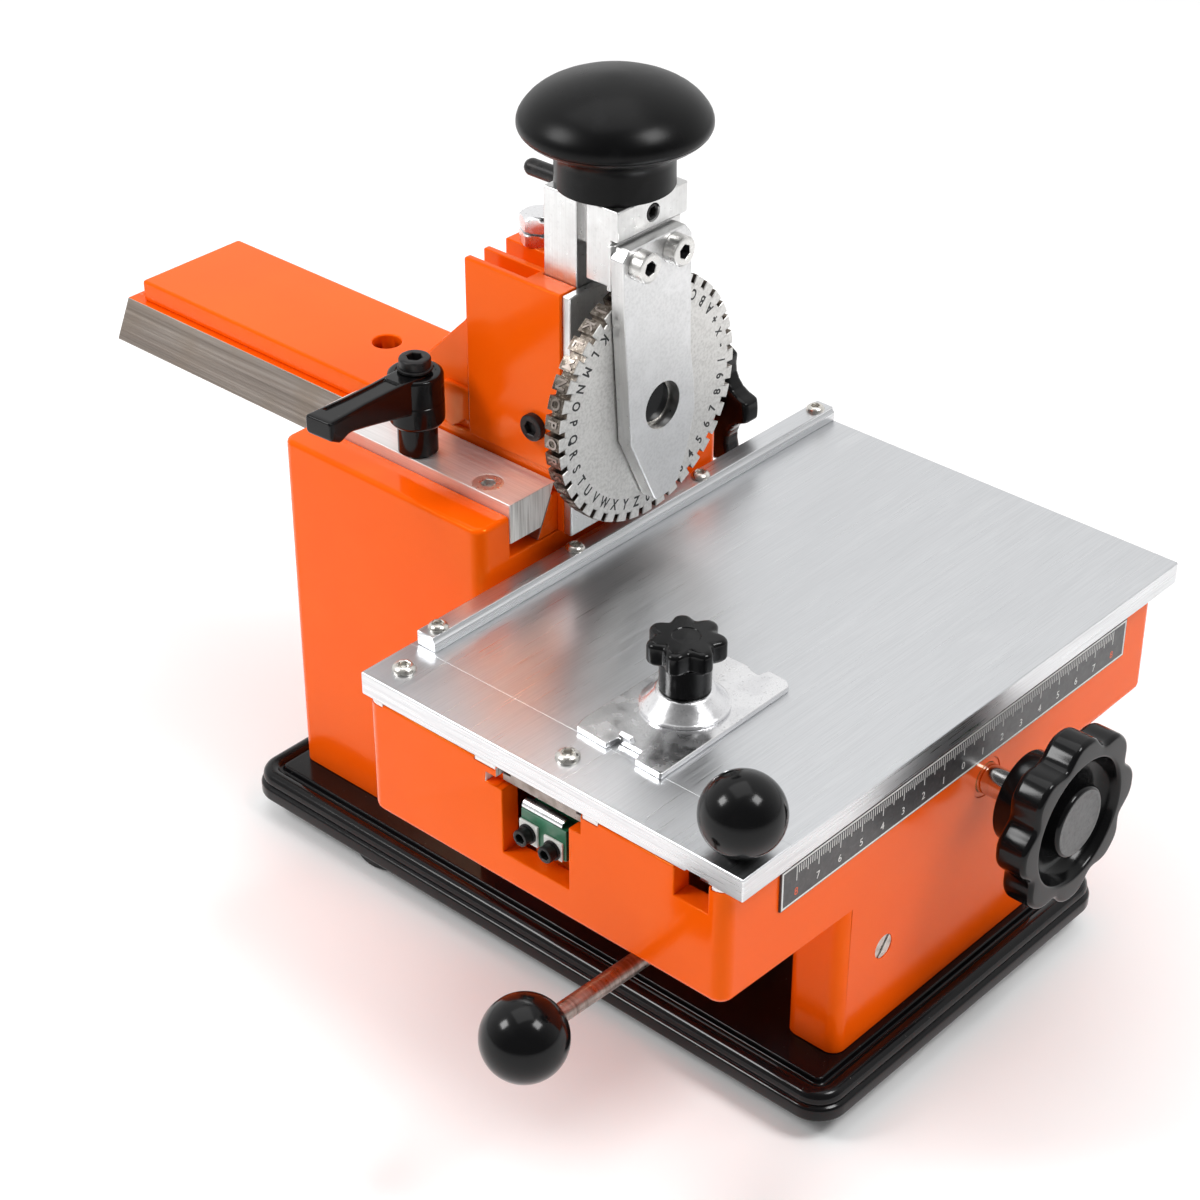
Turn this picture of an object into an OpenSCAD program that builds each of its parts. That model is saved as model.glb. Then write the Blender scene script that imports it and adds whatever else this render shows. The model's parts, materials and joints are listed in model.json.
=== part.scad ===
// Nameplate embossing machine: a base plate, a two-piece casting, a cross-sliding
// work table on a rack, a dovetail arm with a press head, a type dial and a palm knob.
// Millimetres. +X is the operator's right, +Y points to the back, +Z is up.
// The origin is the middle of the bounding box, at the level the feet stand on.

/* [Table] */
// Table width, left to right
table_w = 217; // [215:0.5:219]
// Table depth, front to back
table_d = 148; // [146:0.5:148]
// Table plate thickness
table_t = 7.8; // [7:0.1:8]
// Width of the separate strip at the table's left end
strip_w = 20.8; // [20:0.1:21]
// Height of the work rail above the table
rail_h = 5; // [3:0.1:5.2]
// Rail fixing screws along the rail
rail_screws_n = 4; // [2:1:6]

/* [Base and castings] */
// Base plate width
base_w = 149; // [140:1:150]
// Base plate depth
base_d = 255; // [245:1:256]
// Base plate thickness
base_t = 10; // [8:0.5:12]
// Rubber foot diameter
foot_d = 28; // [20:1:30]
// Rubber foot height
foot_h = 8.3; // [6:0.1:10]
// Wall thickness of the bed casting
bed_wall = 7; // [6:0.5:7.5]
// Height of the column above the base plate
column_h = 128.1; // [128.1:0.1:128.1]

/* [Drive] */
// Module of the rack and pinion
gear_m = 1; // [1:0.1:1]
// Teeth on the drive pinion
pinion_z = 18; // [17:1:18]
// Teeth on the drive rack
rack_z = 52; // [50:1:52]
// Handwheel diameter
wheel_d = 58.6; // [56:0.2:62]
// Lobes round the handwheel
wheel_lobes = 8; // [6:1:10]
// Handwheel shaft diameter
shaft_d = 10; // [8.5:0.1:10]

/* [Head] */
// Diameter of the type dial
dial_d = 81.6; // [80:0.1:82]
// Thickness of the type dial
dial_t = 6.3; // [5.5:0.1:6.4]
// Characters on the dial
dial_n = 40; // [36:1:40]
// Bore of the type dial
dial_bore = 14.5; // [12:0.1:15]
// Diameter of the palm knob
knob_d = 59; // [54:0.5:60]
// Width of the ram block
ram_w = 31.6; // [31:0.1:31.6]
// Length of the sliding dovetail bar
arm_len = 206.3; // [180:0.1:206.3]

/* [Small fittings] */
// Diameter of the ball on the table
table_ball_d = 25; // [22:0.5:26]
// Diameter of the ball on the brake lever
lever_ball_d = 26; // [24:0.5:27]
// Diameter of the brake lever rod
rod_d = 6; // [5:0.1:7]
// Lobes of the small clamp knob
clamp_lobes = 7; // [5:1:8]
// Lobes of the arm lock knob
lock_lobes = 6; // [5:1:7]

/* [Hidden] */
$fn = 72;

// Working frame: origin at the table top's front left corner, table top at z = 0.
x_lo = -40.5 - lever_ball_d / 2;
x_hi = 217;
y_lo = -28;
y_hi = 149.7 + arm_len;
z_lo = -123;
module at() { translate([-(x_lo + x_hi) / 2, -(y_lo + y_hi) / 2, -z_lo]) children(); }

cx = 110.7;          // middle of the column, arm and ruler
dx = 111.2;          // dial axis
dz = 53.5;
wx = 125.5;          // handwheel axis
wz = -37.5;
base_top = z_lo + 18.3;
bed_top = -9.5;
bed_rim = -8.4;
fork_x = [99.4, 115];
fork_z = 105.6;
bracket_yz = [[71.6, -28], [81.3, -27]];
liner_seats = [[-1, 217, 139.6, 148], [-1, 217, 5, 11.4], [-1, 6.9, 92.9, 101.5], [-1, 6.9, 52.9, 59.1],
  [208.9, 217, 92.9, 101.5], [208.9, 217, 52.9, 59.1]];
bed_bot = -49.5;
bed_floor = -44.5;
pr = gear_m * pinion_z / 2;          // pinion pitch radius
pitch_z = wz + pr + 0.1;             // rack pitch line
feet_xy = [[57, 14], [160, 14], [54, 195], [166, 195]];
col_bolts = [[66, 163], [155.4, 163], [66, 226], [155.4, 226]];
leg_bolts = [[68, 16], [147, 16]];
pillar_x = [60, 140];
flank_k = 0.4577;                    // dovetail slope, mm of x per mm of z
lvx = 64;            // brake lever pivot
lvz = -59.7;
ctop = [50, 63.5];   // table clamp axis

// ---------- helpers ----------
module bx(x0, x1, y0, y1, z0, z1) { translate([x0, y0, z0]) cube([x1 - x0, y1 - y0, z1 - z0]); }
module rrect(x0, x1, y0, y1, r) {
  union() {
    translate([x0 + r, y0]) square([x1 - x0 - 2 * r, y1 - y0]);
    translate([x0, y0 + r]) square([x1 - x0, y1 - y0 - 2 * r]);
    for (x = [x0 + r, x1 - r], y = [y0 + r, y1 - r]) translate([x, y]) circle(r = r);
  }
}
module rbx(x0, x1, y0, y1, z0, z1, r) { translate([0, 0, z0]) linear_extrude(z1 - z0) rrect(x0, x1, y0, y1, r); }
module cyx(y, z, d, x0, x1) { translate([x0, y, z]) rotate([0, 90, 0]) cylinder(d = d, h = x1 - x0); }
module cyy(x, z, d, y0, y1) { translate([x, y1, z]) rotate([90, 0, 0]) cylinder(d = d, h = y1 - y0); }
module cyz(x, y, d, z0, z1) { translate([x, y, z0]) cylinder(d = d, h = z1 - z0); }
module prof_y(y0, y1) { translate([0, y1, 0]) rotate([90, 0, 0]) linear_extrude(y1 - y0) children(); }
module prof_x(x0, x1) { translate([x0, 0, 0]) rotate([90, 0, 90]) linear_extrude(x1 - x0) children(); }
// Button-head screw pointing down with a hexagon socket, top of the seat at z
module button_screw(x, y, z, d, h, shank, len) {
  difference() {
    union() {
      cyz(x, y, d, z, z + h * 0.45);
      translate([x, y, z + h * 0.45]) cylinder(d1 = d, d2 = d * 0.62, h = h * 0.55);
      cyz(x, y, shank, z - len, z);
    }
    translate([x, y, z + h * 0.35]) cylinder(d = d * 0.45, h = h, $fn = 6);
  }
}
// Closed coil spring along +Z, made of one swept wire
module coil(r, wire, turns, h) {
  n = turns * 14;
  s = 7;
  pts = [for (i = [0:n]) for (j = [0:s - 1])
    let (a = 360 * i / 14, b = 360 * j / s, rr = r + wire / 2 * cos(b))
    [rr * cos(a), rr * sin(a), wire / 2 + (h - wire) * i / n + wire / 2 * sin(b)]];
  sides = [for (i = [0:n - 1]) for (j = [0:s - 1])
    [i * s + j, (i + 1) * s + j, (i + 1) * s + (j + 1) % s, i * s + (j + 1) % s]];
  ends = [[for (j = [0:s - 1]) j], [for (j = [s - 1:-1:0]) n * s + j]];
  polyhedron(points = pts, faces = concat(sides, ends), convexity = 6);
}
function inv(a) = tan(a) * 180 / PI - a;
function star_r(a, r, amp, n) = r - amp * pow((1 - cos(n * a)) / 2, 1.6);

// ---------- base and castings ----------
module base_plate() {
  x0 = 110.7 - base_w / 2;
  x1 = 110.7 + base_w / 2;
  y1 = -5 + base_d;
  zb = base_top - base_t;
  color([0.07, 0.07, 0.075]) at() difference() {
    union() {
      rbx(x0, x1, -5, y1, zb, zb + base_t * 0.62, 10);
      rbx(x0 + 3.6, x1 - 3.6, -1.4, y1 - 3.6, zb, base_top, 7);
    }
    for (p = feet_xy) cyz(p[0], p[1], 8, zb - 1, zb + 5);
    for (p = concat(col_bolts, leg_bolts)) {
      cyz(p[0], p[1], 6.4, zb - 1, base_top + 1);
      cyz(p[0], p[1], 11.5, zb - 1, zb + 4);
    }
  }
}
module rubber_feet() {
  zb = base_top - base_t;
  color([0.05, 0.05, 0.055]) at() for (p = feet_xy) translate([p[0], p[1], 0]) {
    translate([0, 0, zb - foot_h]) rotate_extrude()
      polygon([[0, 0], [foot_d / 2 - 3, 0], [foot_d / 2 - 1.2, 1.2], [foot_d / 2, foot_h - 2],
        [foot_d / 2, foot_h], [4, foot_h], [4, foot_h + 4.6], [0, foot_h + 4.6]]);
  }
}
module column_casting() {
  zt = base_top + column_h;
  color([1, 0.38, 0.12]) at() difference() {
    rbx(53.3, 168.2, 149.7, 239.6, base_top, zt, 4.5);
    // slideway with a ledge under each guide bar
    bx(66.8, 154.6, 140, 250, 13.3, 40);
    bx(66.8, 154.6, 140, 156, 8.8, 14);
    bx(78, 143.4, 140, 250, 8.8, 14);
    // hollow inside, open at the foot
    difference() {
      rbx(61.3, 160.2, 157.7, 231.6, base_top - 1, -5, 4);
      for (p = col_bolts) cyz(p[0], p[1], 15, base_top - 1, -70);
      bx(68, 84, 155, 166, -38, -22);
      bx(138, 154, 155, 166, -38, -22);
    }
    for (p = col_bolts) cyz(p[0], p[1], 6, base_top - 1, -86);
    for (x = [76, 146]) cyy(x, -30, 6, 140, 162);
    // gib screws, lever screw, lock screw
    for (s = [[72.9, 164.9], [72.2, 223.4], [148.5, 160], [149.2, 223.4]]) cyz(s[0], s[1], 5, 0, 14);
    cyz(72.6, 195.5, 8.16, 0, 14);
    cyx(170, 13.5, 8.16, 140, 170);
  }
}
module bed_casting() {
  color([1, 0.38, 0.12]) at() difference() {
    union() {
      difference() {
        union() {
          rbx(0.3, 215.5, 6, 147, bed_bot, bed_rim, 5);
          bx(56, 165, 140, 149.7, bed_bot, -12);
        }
        bx(0.3 + bed_wall, 215.5 - bed_wall, 6 + bed_wall, 147 - bed_wall, bed_floor, 0);
      }
      // front leg
      rbx(55.5, 158.5, 6, 26, base_top, bed_bot + 0.5, 4.5);
      // pillars for the guide blocks, boss behind the side window, shaft bosses
      for (x = pillar_x) {
        bx(x, x + 20, 6 + bed_wall - 0.5, 25, bed_floor - 0.5, -20.5);
        bx(x, x + 20, 57, 62, bed_floor - 0.5, -16);
        bx(x, x + 20, 90.3, 95, bed_floor - 0.5, -16);
      }
      bx(8.2, 24, 67, 84.8, bed_floor - 0.5, -21.2);
      cyy(wx, wz, 22, 12.5, 19);
      bx(112, 139, 95, 101, bed_floor - 0.5, -29);
      bx(7, 9, 50, 64.2, bed_floor - 0.5, -16);
      // bearing lugs of the brake lever under the floor
      for (y = [30, 83]) {
        bx(56, 72, y, y + 6, lvz, bed_bot + 0.5);
        cyy(lvx, lvz, 16, y, y + 6);
      }
    }
    // seats of the slide liners in the rim
    for (s = liner_seats) bx(s[0], s[1], s[2], s[3], bed_top, 0);
    // side window, notches for the rails, and the same on the right wall
    bx(-1, 8.4, 64.2, 90.4, -38, 0);
    bx(-1, 8.4, 59.4, 92.6, -15.4, 0);
    bx(-1, 4, 90, 96.8, -15, -11.6);
    bx(-1, 8.4, 12.3, 24.7, -18.4, 0);
    bx(207, 217, 59.4, 92.6, -32, 0);
    bx(207, 217, 12.3, 24.7, -18.4, 0);
    // floor windows for the pinion and the brake arm
    bx(112, 139, 82, 93, bed_bot - 1, bed_floor + 1);
    bx(55, 81, 62.8, 73, bed_bot - 1, bed_floor + 1);
    // handwheel shaft
    cyy(wx, wz, 14, 0, 25);
    cyy(wx, wz, 8.1, 94, 102);
    // hollow leg, bolts, plug
    bx(84, 132, 12, 20, base_top - 1, -58);
    for (p = leg_bolts) cyz(p[0], p[1], 6, base_top - 1, -86);
    cyy(76.9, -74.1, 8.4, 5, 12);
    for (x = [76, 146]) cyy(x, -30, 6.4, 135, 151);
    cyy(lvx, lvz, 8, 29, 90);
    // bracket screws
    for (p = bracket_yz) cyx(p[0], p[1], 4, 7, 20);
    for (x = pillar_x) for (y = [19, 59.5, 92.6]) cyz(x + 10, y, 2.5, -30, -15);
  }
}
module casting_bolts() {
  zb = base_top - base_t;
  color([0.3, 0.3, 0.32]) at() {
    for (p = concat(col_bolts, leg_bolts)) difference() {
      union() {
        cyz(p[0], p[1], 10, zb, zb + 4);
        cyz(p[0], p[1], 6, zb + 4, -88);
      }
      translate([p[0], p[1], zb - 0.1]) cylinder(d = 5.6, h = 2.8, $fn = 6);
    }
    for (x = [76, 146]) difference() {
      union() {
        cyy(x, -30, 10, 134, 140);
        cyy(x, -30, 6, 140, 160);
      }
      translate([x, 136.8, -30]) rotate([90, 0, 0]) cylinder(d = 5.6, h = 4, $fn = 6);
    }
  }
}
gib_prof = [[66.9, 13.3], [80.8, 13.3], [80.8 + flank_k * 14.1, 27.4], [66.9, 27.4]];
module csk(x, y, z, d, shank, z1) {
  translate([x, y, z - (d - shank) / 2]) cylinder(d1 = shank, d2 = d, h = (d - shank) / 2 + 0.01);
  cyz(x, y, shank, z1, z);
}
module gib_bar() {
  color([0.78, 0.78, 0.78]) at() difference() {
    prof_y(149.7, 239.3) polygon(gib_prof);
    csk(72.9, 164.9, 27.4, 11, 5.2, 13);
    csk(72.2, 223.4, 27.4, 11, 5.2, 13);
    cyz(72.6, 195.5, 8.16, 13, 28);
  }
}
module guide_bar_right() {
  color([0.78, 0.78, 0.78]) at() difference() {
    prof_y(149.7, 239.3) polygon([for (i = [3:-1:0]) [2 * cx - gib_prof[i][0], gib_prof[i][1]]]);
    csk(148.5, 160, 27.4, 11, 5.2, 13);
    csk(149.2, 223.4, 27.4, 11, 5.2, 13);
    cyx(170, 13.5, 8.16, 135, 160);
  }
}
module gib_screws() {
  color([0.75, 0.73, 0.7]) at()
    for (s = [[72.9, 164.9], [72.2, 223.4], [148.5, 160], [149.2, 223.4]]) difference() {
      union() {
        translate([s[0], s[1], 27.1 - 2.6]) cylinder(d1 = 5, d2 = 10.2, h = 2.6);
        cyz(s[0], s[1], 5, 1.5, 27.1 - 2.6);
      }
      translate([s[0], s[1], 25.4]) cylinder(d = 4.2, h = 3, $fn = 6);
    }
}
module ruler_strip() {
  color([0.13, 0.13, 0.14]) at() bx(23.8, 198.2, 5.2, 6, -28.5, -14.5);
}
module slide_liners() {
  color([0.72, 0.72, 0.7]) at() intersection() {
    rbx(0.5, 215.3, 6.2, 146.8, bed_top, -8.1, 4.8);
    union() {
      bx(-1, 217, 139.7, 148, bed_top, 0);
      bx(-1, 217, 5, 11.3, bed_top, 0);
      for (x = [-1, 209]) for (y = [[93, 101.4], [53, 59]]) bx(x, x + 7.8, y[0], y[1], bed_top, 0);
    }
  }
}
module guide_blocks() {
  color([0.6, 0.6, 0.62]) at() for (x = pillar_x) {
    // front block: a C round the lower part of the T rail
    difference() {
      prof_x(x, x + 20) polygon([[13.2, -20.5], [24.8, -20.5], [24.8, -8.3], [21.3, -8.3], [21.3, -10.7],
        [22.8, -10.7], [22.8, -17.3], [15.2, -17.3], [15.2, -10.7], [16.7, -10.7], [16.7, -8.3], [13.2, -8.3]]);
      cyz(x + 10, 19, 2.6, -21, -17);
    }
    // rear blocks: a channel at each edge of the wide rail
    prof_x(x, x + 20) polygon([[57, -16], [62, -16], [62, -13.7], [59.7, -13.7], [59.7, -10.6],
      [62.7, -10.6], [62.7, -8.3], [57, -8.3]]);
    prof_x(x, x + 20) polygon([[95, -16], [90.3, -16], [90.3, -13.7], [92.3, -13.7], [92.3, -10.6],
      [89.3, -10.6], [89.3, -8.3], [95, -8.3]]);
  }
}
module front_bush() {
  color([0.75, 0.6, 0.3]) at() difference() {
    cyy(wx, wz, 14, 6.3, 19);
    cyy(wx, wz, shaft_d + 0.1, 5, 20);
  }
}
module slotted_plug() {
  color([0.7, 0.69, 0.66]) at() difference() {
    cyy(76.9, -74.1, 8.4, 6.2, 12);
    translate([76.9, 6.2, -74.1]) rotate([0, 38, 0]) cube([1.1, 2, 10], center = true);
  }
}
module support_bracket() {
  color([0.05, 0.35, 0.2]) at() difference() {
    union() {
      bx(2.4, 3.9, 67, 84.8, -30.7, -19.8);
      bx(2.4, 14, 67, 84.8, -21.2, -19.8);
    }
    for (p = bracket_yz) {
      cyx(p[0], p[1], 4.6, 1, 5);
      bx(1, 5, p[0] - 2.3, p[0] + 2.3, p[1], p[1] + 1.8);
    }
  }
}
module bracket_pads() {
  color([0.9, 0.9, 0.88]) at() for (p = bracket_yz) difference() {
    bx(1.6, 2.4, p[0] - 3.6, p[0] + 3.6, -30.7, p[1] + 3.7);
    cyx(p[0], p[1], 4.6, 1, 3);
  }
}
module bracket_screws() {
  color([0.08, 0.08, 0.09]) at() for (p = bracket_yz) difference() {
    union() {
      cyx(p[0], p[1], 5.4, -2.1, 0.9);
      cyx(p[0], p[1], 6.4, 0.9, 1.6);
      cyx(p[0], p[1], 4, 0.9, 18);
    }
    translate([-2.2, p[0], p[1]]) rotate([0, 90, 0]) cylinder(d = 3.2, h = 2.2, $fn = 6);
  }
}
module support_bar() {
  color([0.8, 0.8, 0.8]) at() intersection() {
    cyy(4.9, -19.6, 4.2, 69, 84.8);
    bx(2, 8, 69, 86, -19.8, -17);
  }
}
module anvil_block() {
  color([0.5, 0.5, 0.52]) at() union() {
    bx(97, 125, 122, 139.6, bed_floor, -30);
    bx(101, 121, 126, 139.6, -30, -8.15);
  }
}
module lever_spring() {
  color([0.55, 0.55, 0.56]) at() translate([lvx, 82.4, lvz]) rotate([90, 0, 0]) coil(6.2, 1.3, 6, 9.8);
}
module lever_pivot_pin() {
  color([0.6, 0.6, 0.6]) at() union() {
    cyy(lvx, lvz, 8, 28.5, 89);
    cyy(lvx, lvz, 10.5, 89, 90.5);
  }
}

// ---------- table ----------
module table_plate() {
  color([0.72, 0.73, 0.74]) at() difference() {
    bx(strip_w + 0.02, table_w, 0, table_d, -table_t, 0);
    for (i = [0:rail_screws_n - 1]) cyz(27.3 + i * (211 - 27.3) / (rail_screws_n - 1), 142.3, 3.6, -table_t - 1, 1);
    cyz(ctop[0], ctop[1], 6, -table_t - 1, 1);
  }
}
module end_strip() {
  color([0.72, 0.73, 0.74]) at() difference() {
    bx(0, strip_w, 0, table_d, -table_t, 0);
    bx(-1, 9, 12, 20.5, -table_t - 1, -table_t + 1.2);
    for (y = [139.3, 72.8]) cyz(9.6, y, 4, -table_t - 1, 1);
    cyz(9.8, 8.7, 6, -table_t - 1, 1);
  }
}
module work_rail() {
  color([0.75, 0.75, 0.75]) at() difference() {
    prof_x(22, table_w) polygon([[138.4, 0], [146.2, 0], [146.2, rail_h], [139.4, rail_h],
      [139.4, rail_h - 1.1], [138.4, rail_h - 1.9]]);
    for (i = [0:rail_screws_n - 1]) cyz(27.3 + i * (211 - 27.3) / (rail_screws_n - 1), 142.3, 3.6, -1, rail_h + 1);
  }
}
module table_screws() {
  color([0.85, 0.83, 0.8]) at() {
    for (i = [0:rail_screws_n - 1])
      button_screw(27.3 + i * (211 - 27.3) / (rail_screws_n - 1), 142.3, rail_h, 6.5, 1.9, 3.6, rail_h + table_t - 0.3);
    for (y = [139.3, 72.8]) button_screw(9.6, y, 0, 7.5, 2.1, 4, table_t - 0.3);
  }
}
module table_ball() {
  color([0.04, 0.04, 0.04]) at() union() {
    translate([9.8, 8.7, table_ball_d / 2]) rotate_extrude() difference() {
      intersection() { circle(d = table_ball_d); translate([0, -20]) square([20, 40]); }
    }
    cyz(9.8, 8.7, 6, -table_t + 0.6, 3);
  }
}
module front_rail() {
  color([0.66, 0.67, 0.68]) at() prof_x(9, 214) polygon([[15.5, -17], [22.5, -17], [22.5, -11],
    [21, -11], [21, -table_t], [17, -table_t], [17, -11], [15.5, -11]]);
}
module rear_rail() {
  color([0.6, 0.61, 0.62]) at() prof_x(2.5, 214) polygon([[60, -13.4], [92, -13.4], [92, -10.9],
    [89, -10.9], [89, -table_t], [63, -table_t], [63, -10.9], [60, -10.9]]);
}
module drive_rack() {
  p = PI * gear_m;
  tip = pitch_z - gear_m;
  root = pitch_z + 1.25 * gear_m;
  hw = p / 4 - 0.09;
  t20 = tan(20);
  k0 = -floor(rack_z / 2);
  teeth = [for (k = [rack_z - 1 + k0:-1:k0]) let (c = wx + k * p)
    each [[c + hw + (root - pitch_z) * t20, root], [c + hw - gear_m * t20, tip],
      [c - hw + gear_m * t20, tip], [c - hw - (root - pitch_z) * t20, root]]];
  xa = wx + k0 * p - p / 2;
  xb = wx + (rack_z - 1 + k0) * p + p / 2;
  color([0.45, 0.45, 0.47]) at() prof_y(85.3, 89.8)
    polygon(concat([[xa, root], [xa, -13.4], [xb, -13.4], [xb, root]], teeth));
}
module clamp_stud() {
  color([0.7, 0.7, 0.7]) at() cyz(ctop[0], ctop[1], 6, -table_t + 0.2, 20);
}
module clamp_plate() {
  color([0.82, 0.82, 0.83]) at() difference() {
    union() {
      translate([0, 0, 0.05]) linear_extrude(1.95) polygon([[20, 67.5], [24.4, 66.8], [24.4, 57.6], [19.6, 56.2],
        [19.2, 46.6], [19.9, 46], [77.4, 46.6], [79.6, 49], [79.9, 56.4], [76.2, 57.2], [76.6, 60.2], [77.9, 62.5],
        [77.9, 79.6], [76.6, 80.8], [24.4, 80.8], [20.6, 79.4]]);
      translate([24.2, 61, 1.9]) rotate([0, -24, 0]) cube([1.7, 4.6, 3]);
    }
    cyz(ctop[0], ctop[1], 6.6, -1, 3);
  }
}
module cone_washer() {
  color([0.8, 0.8, 0.8]) at() translate([ctop[0], ctop[1], 2]) rotate_extrude()
    polygon([[3.3, 0], [13.6, 0], [13.6, 1.3], [9.4, 5.6], [8.6, 6.4], [3.3, 6.4]]);
}
module clamp_star_knob() {
  color([0.05, 0.05, 0.055]) at() translate([ctop[0], ctop[1], 0]) difference() {
    union() {
      translate([0, 0, 8.45]) cylinder(d = 15.6, h = 10.6);
      translate([0, 0, 18.9]) linear_extrude(7.3) polygon([for (i = [0:4:356])
        let (r = star_r(i, 12, 2.4, clamp_lobes)) [r * cos(i), r * sin(i)]]);
    }
    translate([0, 0, 8]) cylinder(d = 6.1, h = 14);
  }
}

// ---------- handwheel drive ----------
module handwheel() {
  color([0.05, 0.05, 0.055]) at() translate([wx, 0, wz]) difference() {
    union() {
      translate([0, -17, 0]) rotate([90, 0, 0]) linear_extrude(11) polygon([for (i = [0:3:357])
        let (r = star_r(i, wheel_d / 2, 3.7, wheel_lobes)) [r * cos(i), r * sin(i)]]);
      cyy(0, 0, 30, -17.2, -6.5);
    }
    // dished recess round the centre boss, open to the front
    translate([0, -28.1, 0]) rotate([-90, 0, 0]) rotate_extrude()
      polygon([[11.1, 0], [21.3, 0], [19.2, 6], [12.4, 6.9]]);
    cyy(0, 0, shaft_d, -25, -6);
  }
}
module wheel_shaft() {
  color([0.62, 0.62, 0.63]) at() union() {
    cyy(wx, wz, shaft_d, -25, 84.9);
    cyy(wx, wz, 8, 84.9, 102);
  }
}
module drive_pinion() {
  rb = pr * cos(20);
  ra = pr + gear_m;
  rf = pr - 1.25 * gear_m;
  bl = 0.09 / pr * 180 / PI;
  function psi(q) = 90 / pinion_z + inv(20) - inv(acos(min(1, rb / q))) - bl;
  qs = [for (i = [0:4]) rb + 0.001 + (ra - rb - 0.001) * i / 4];
  pts = [for (k = [0:pinion_z - 1]) let (c = 90 + 180 / pinion_z + k * 360 / pinion_z)
    each concat([[rf * cos(c - psi(rb + 0.001)), rf * sin(c - psi(rb + 0.001))]],
      [for (i = [0:4]) [qs[i] * cos(c - psi(qs[i])), qs[i] * sin(c - psi(qs[i]))]],
      [for (i = [4:-1:0]) [qs[i] * cos(c + psi(qs[i])), qs[i] * sin(c + psi(qs[i]))]],
      [[rf * cos(c + psi(rb + 0.001)), rf * sin(c + psi(rb + 0.001))]])];
  color([0.6, 0.55, 0.4]) at() difference() {
    translate([wx, 0, wz]) prof_y(84.9, 90.2) polygon(pts);
    cyy(wx, wz, 8, 80, 95);
  }
}

// ---------- arm and head ----------
module slide_bar() {
  fx0 = 79.2;
  fx1 = fx0 + flank_k * 14.2;
  color([0.45, 0.42, 0.4]) at() difference() {
    prof_y(149.7, 149.7 + arm_len) polygon([[fx0, 9], [2 * cx - fx0, 9], [2 * cx - fx1, 23.2], [fx1, 23.2]]);
    cyz(113.4, 251.8, 9, 8, 25);
  }
}
module rib(x0, x1) {
  // upright rib with its gusset down to the arm
  bx(x0, x1, 160, 187, 31, 93);
}
module head_casting() {
  color([1, 0.38, 0.12]) at() difference() {
    union() {
      // arm top and front apron
      bx(88, 133.4, 149.5, 350, 23.2, 31);
      bx(88, 133.4, 146.7, 149.6, 9.2, 31.5);
      // head block with ribs behind
      bx(87, 134.4, 146.7, 187, 30.6, 93);
      // gussets behind the ribs
      for (g = [[89, 91.5], [108.5, 112.9], [129.9, 132.4]])
        prof_x(g[0], g[1]) polygon([[186, 30], [228, 31], [187, 72], [186, 72]]);
      prof_x(87.3, 90) polygon([[186, 46], [198, 46], [200, 44], [200, 32], [195.3, 30], [192, 32], [189, 34.5], [186, 34.5]]);
    }
    // slots cut from the back
    for (s = [[89.5, 95.6], [98, 105.4], [116, 123.4], [125.8, 131.9]]) bx(s[0], s[1], 162.5, 188.5, 36, 94);
    // pocket for the ram's rear limb
    bx(cx - ram_w / 2 - 0.2, cx + ram_w / 2 + 0.2, 146, 160.8, 47, 94);
    // stop bolt, wall screw, through hole in the arm
    cyz(cx, 177, 6, 76, 94);
    cyx(157.5, 44.4, 5, 86, 97);
    cyz(113.4, 251.8, 10, 22, 32);
    // cover screws
    for (x = [91, 130.4], z = [38, 64]) cyy(x, z, 3, 146, 156);
  }
}
module cover_plate() {
  color([0.7, 0.71, 0.72]) at() difference() {
    bx(88, 133.4, 143.5, 146.7, 9, 92.6);
    for (x = [91, 130.4], z = [38, 64]) cyy(x, z, 3.4, 143, 147);
  }
}
module stop_bolt() {
  color([0.85, 0.85, 0.86]) at() union() {
    translate([cx, 177, 98]) cylinder(d = 11.4, h = 4.6, $fn = 6);
    translate([cx, 177, 102.6]) cylinder(d1 = 10.4, d2 = 9, h = 0.7);
    cyz(cx, 177, 6, 77, 98);
  }
}
module stop_nut() {
  color([0.8, 0.8, 0.82]) at() difference() {
    translate([cx, 177, 93]) cylinder(d = 11.4, h = 4.2, $fn = 6);
    cyz(cx, 177, 6, 92, 98);
  }
}
module wall_screw() {
  color([0.05, 0.05, 0.055]) at() difference() {
    union() {
      cyx(157.5, 44.4, 9, 84.6, 87);
      cyx(157.5, 44.4, 5, 87, 96);
    }
    translate([84.5, 157.5, 44.4]) rotate([0, 90, 0]) cylinder(d = 4.6, h = 2, $fn = 6);
  }
}
module return_springs() {
  color([0.6, 0.6, 0.62]) at() for (x = [102, 119.4]) translate([x, 153.9, 47.05]) coil(4.2, 1.2, 6, 18.9);
}
module ram_block() {
  x0 = cx - ram_w / 2;
  x1 = cx + ram_w / 2;
  color([0.8, 0.79, 0.77]) at() difference() {
    union() {
      bx(x0, x1, 147, 160.5, 66, 122.3);
      bx(x0, x1, 130.4, 143.2, 112.2, 122.3);
      bx(x0, x1, 133, 143.2, 97, 113);
      bx(x0 + 4, x1 - 4, 143, 147.2, 106, 122.3);
    }
    cyz(cx, 145.7, 8, 107, 123);
    cyy(cx, 117.2, 6, 130, 141);
    cyy(cx, 117.2, 5.6, 152, 161);
    for (x = fork_x) cyy(x, fork_z, 6, 132, 140);
    cyz(dx, 136.2, 2.5, 96, 104);
  }
}
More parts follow.
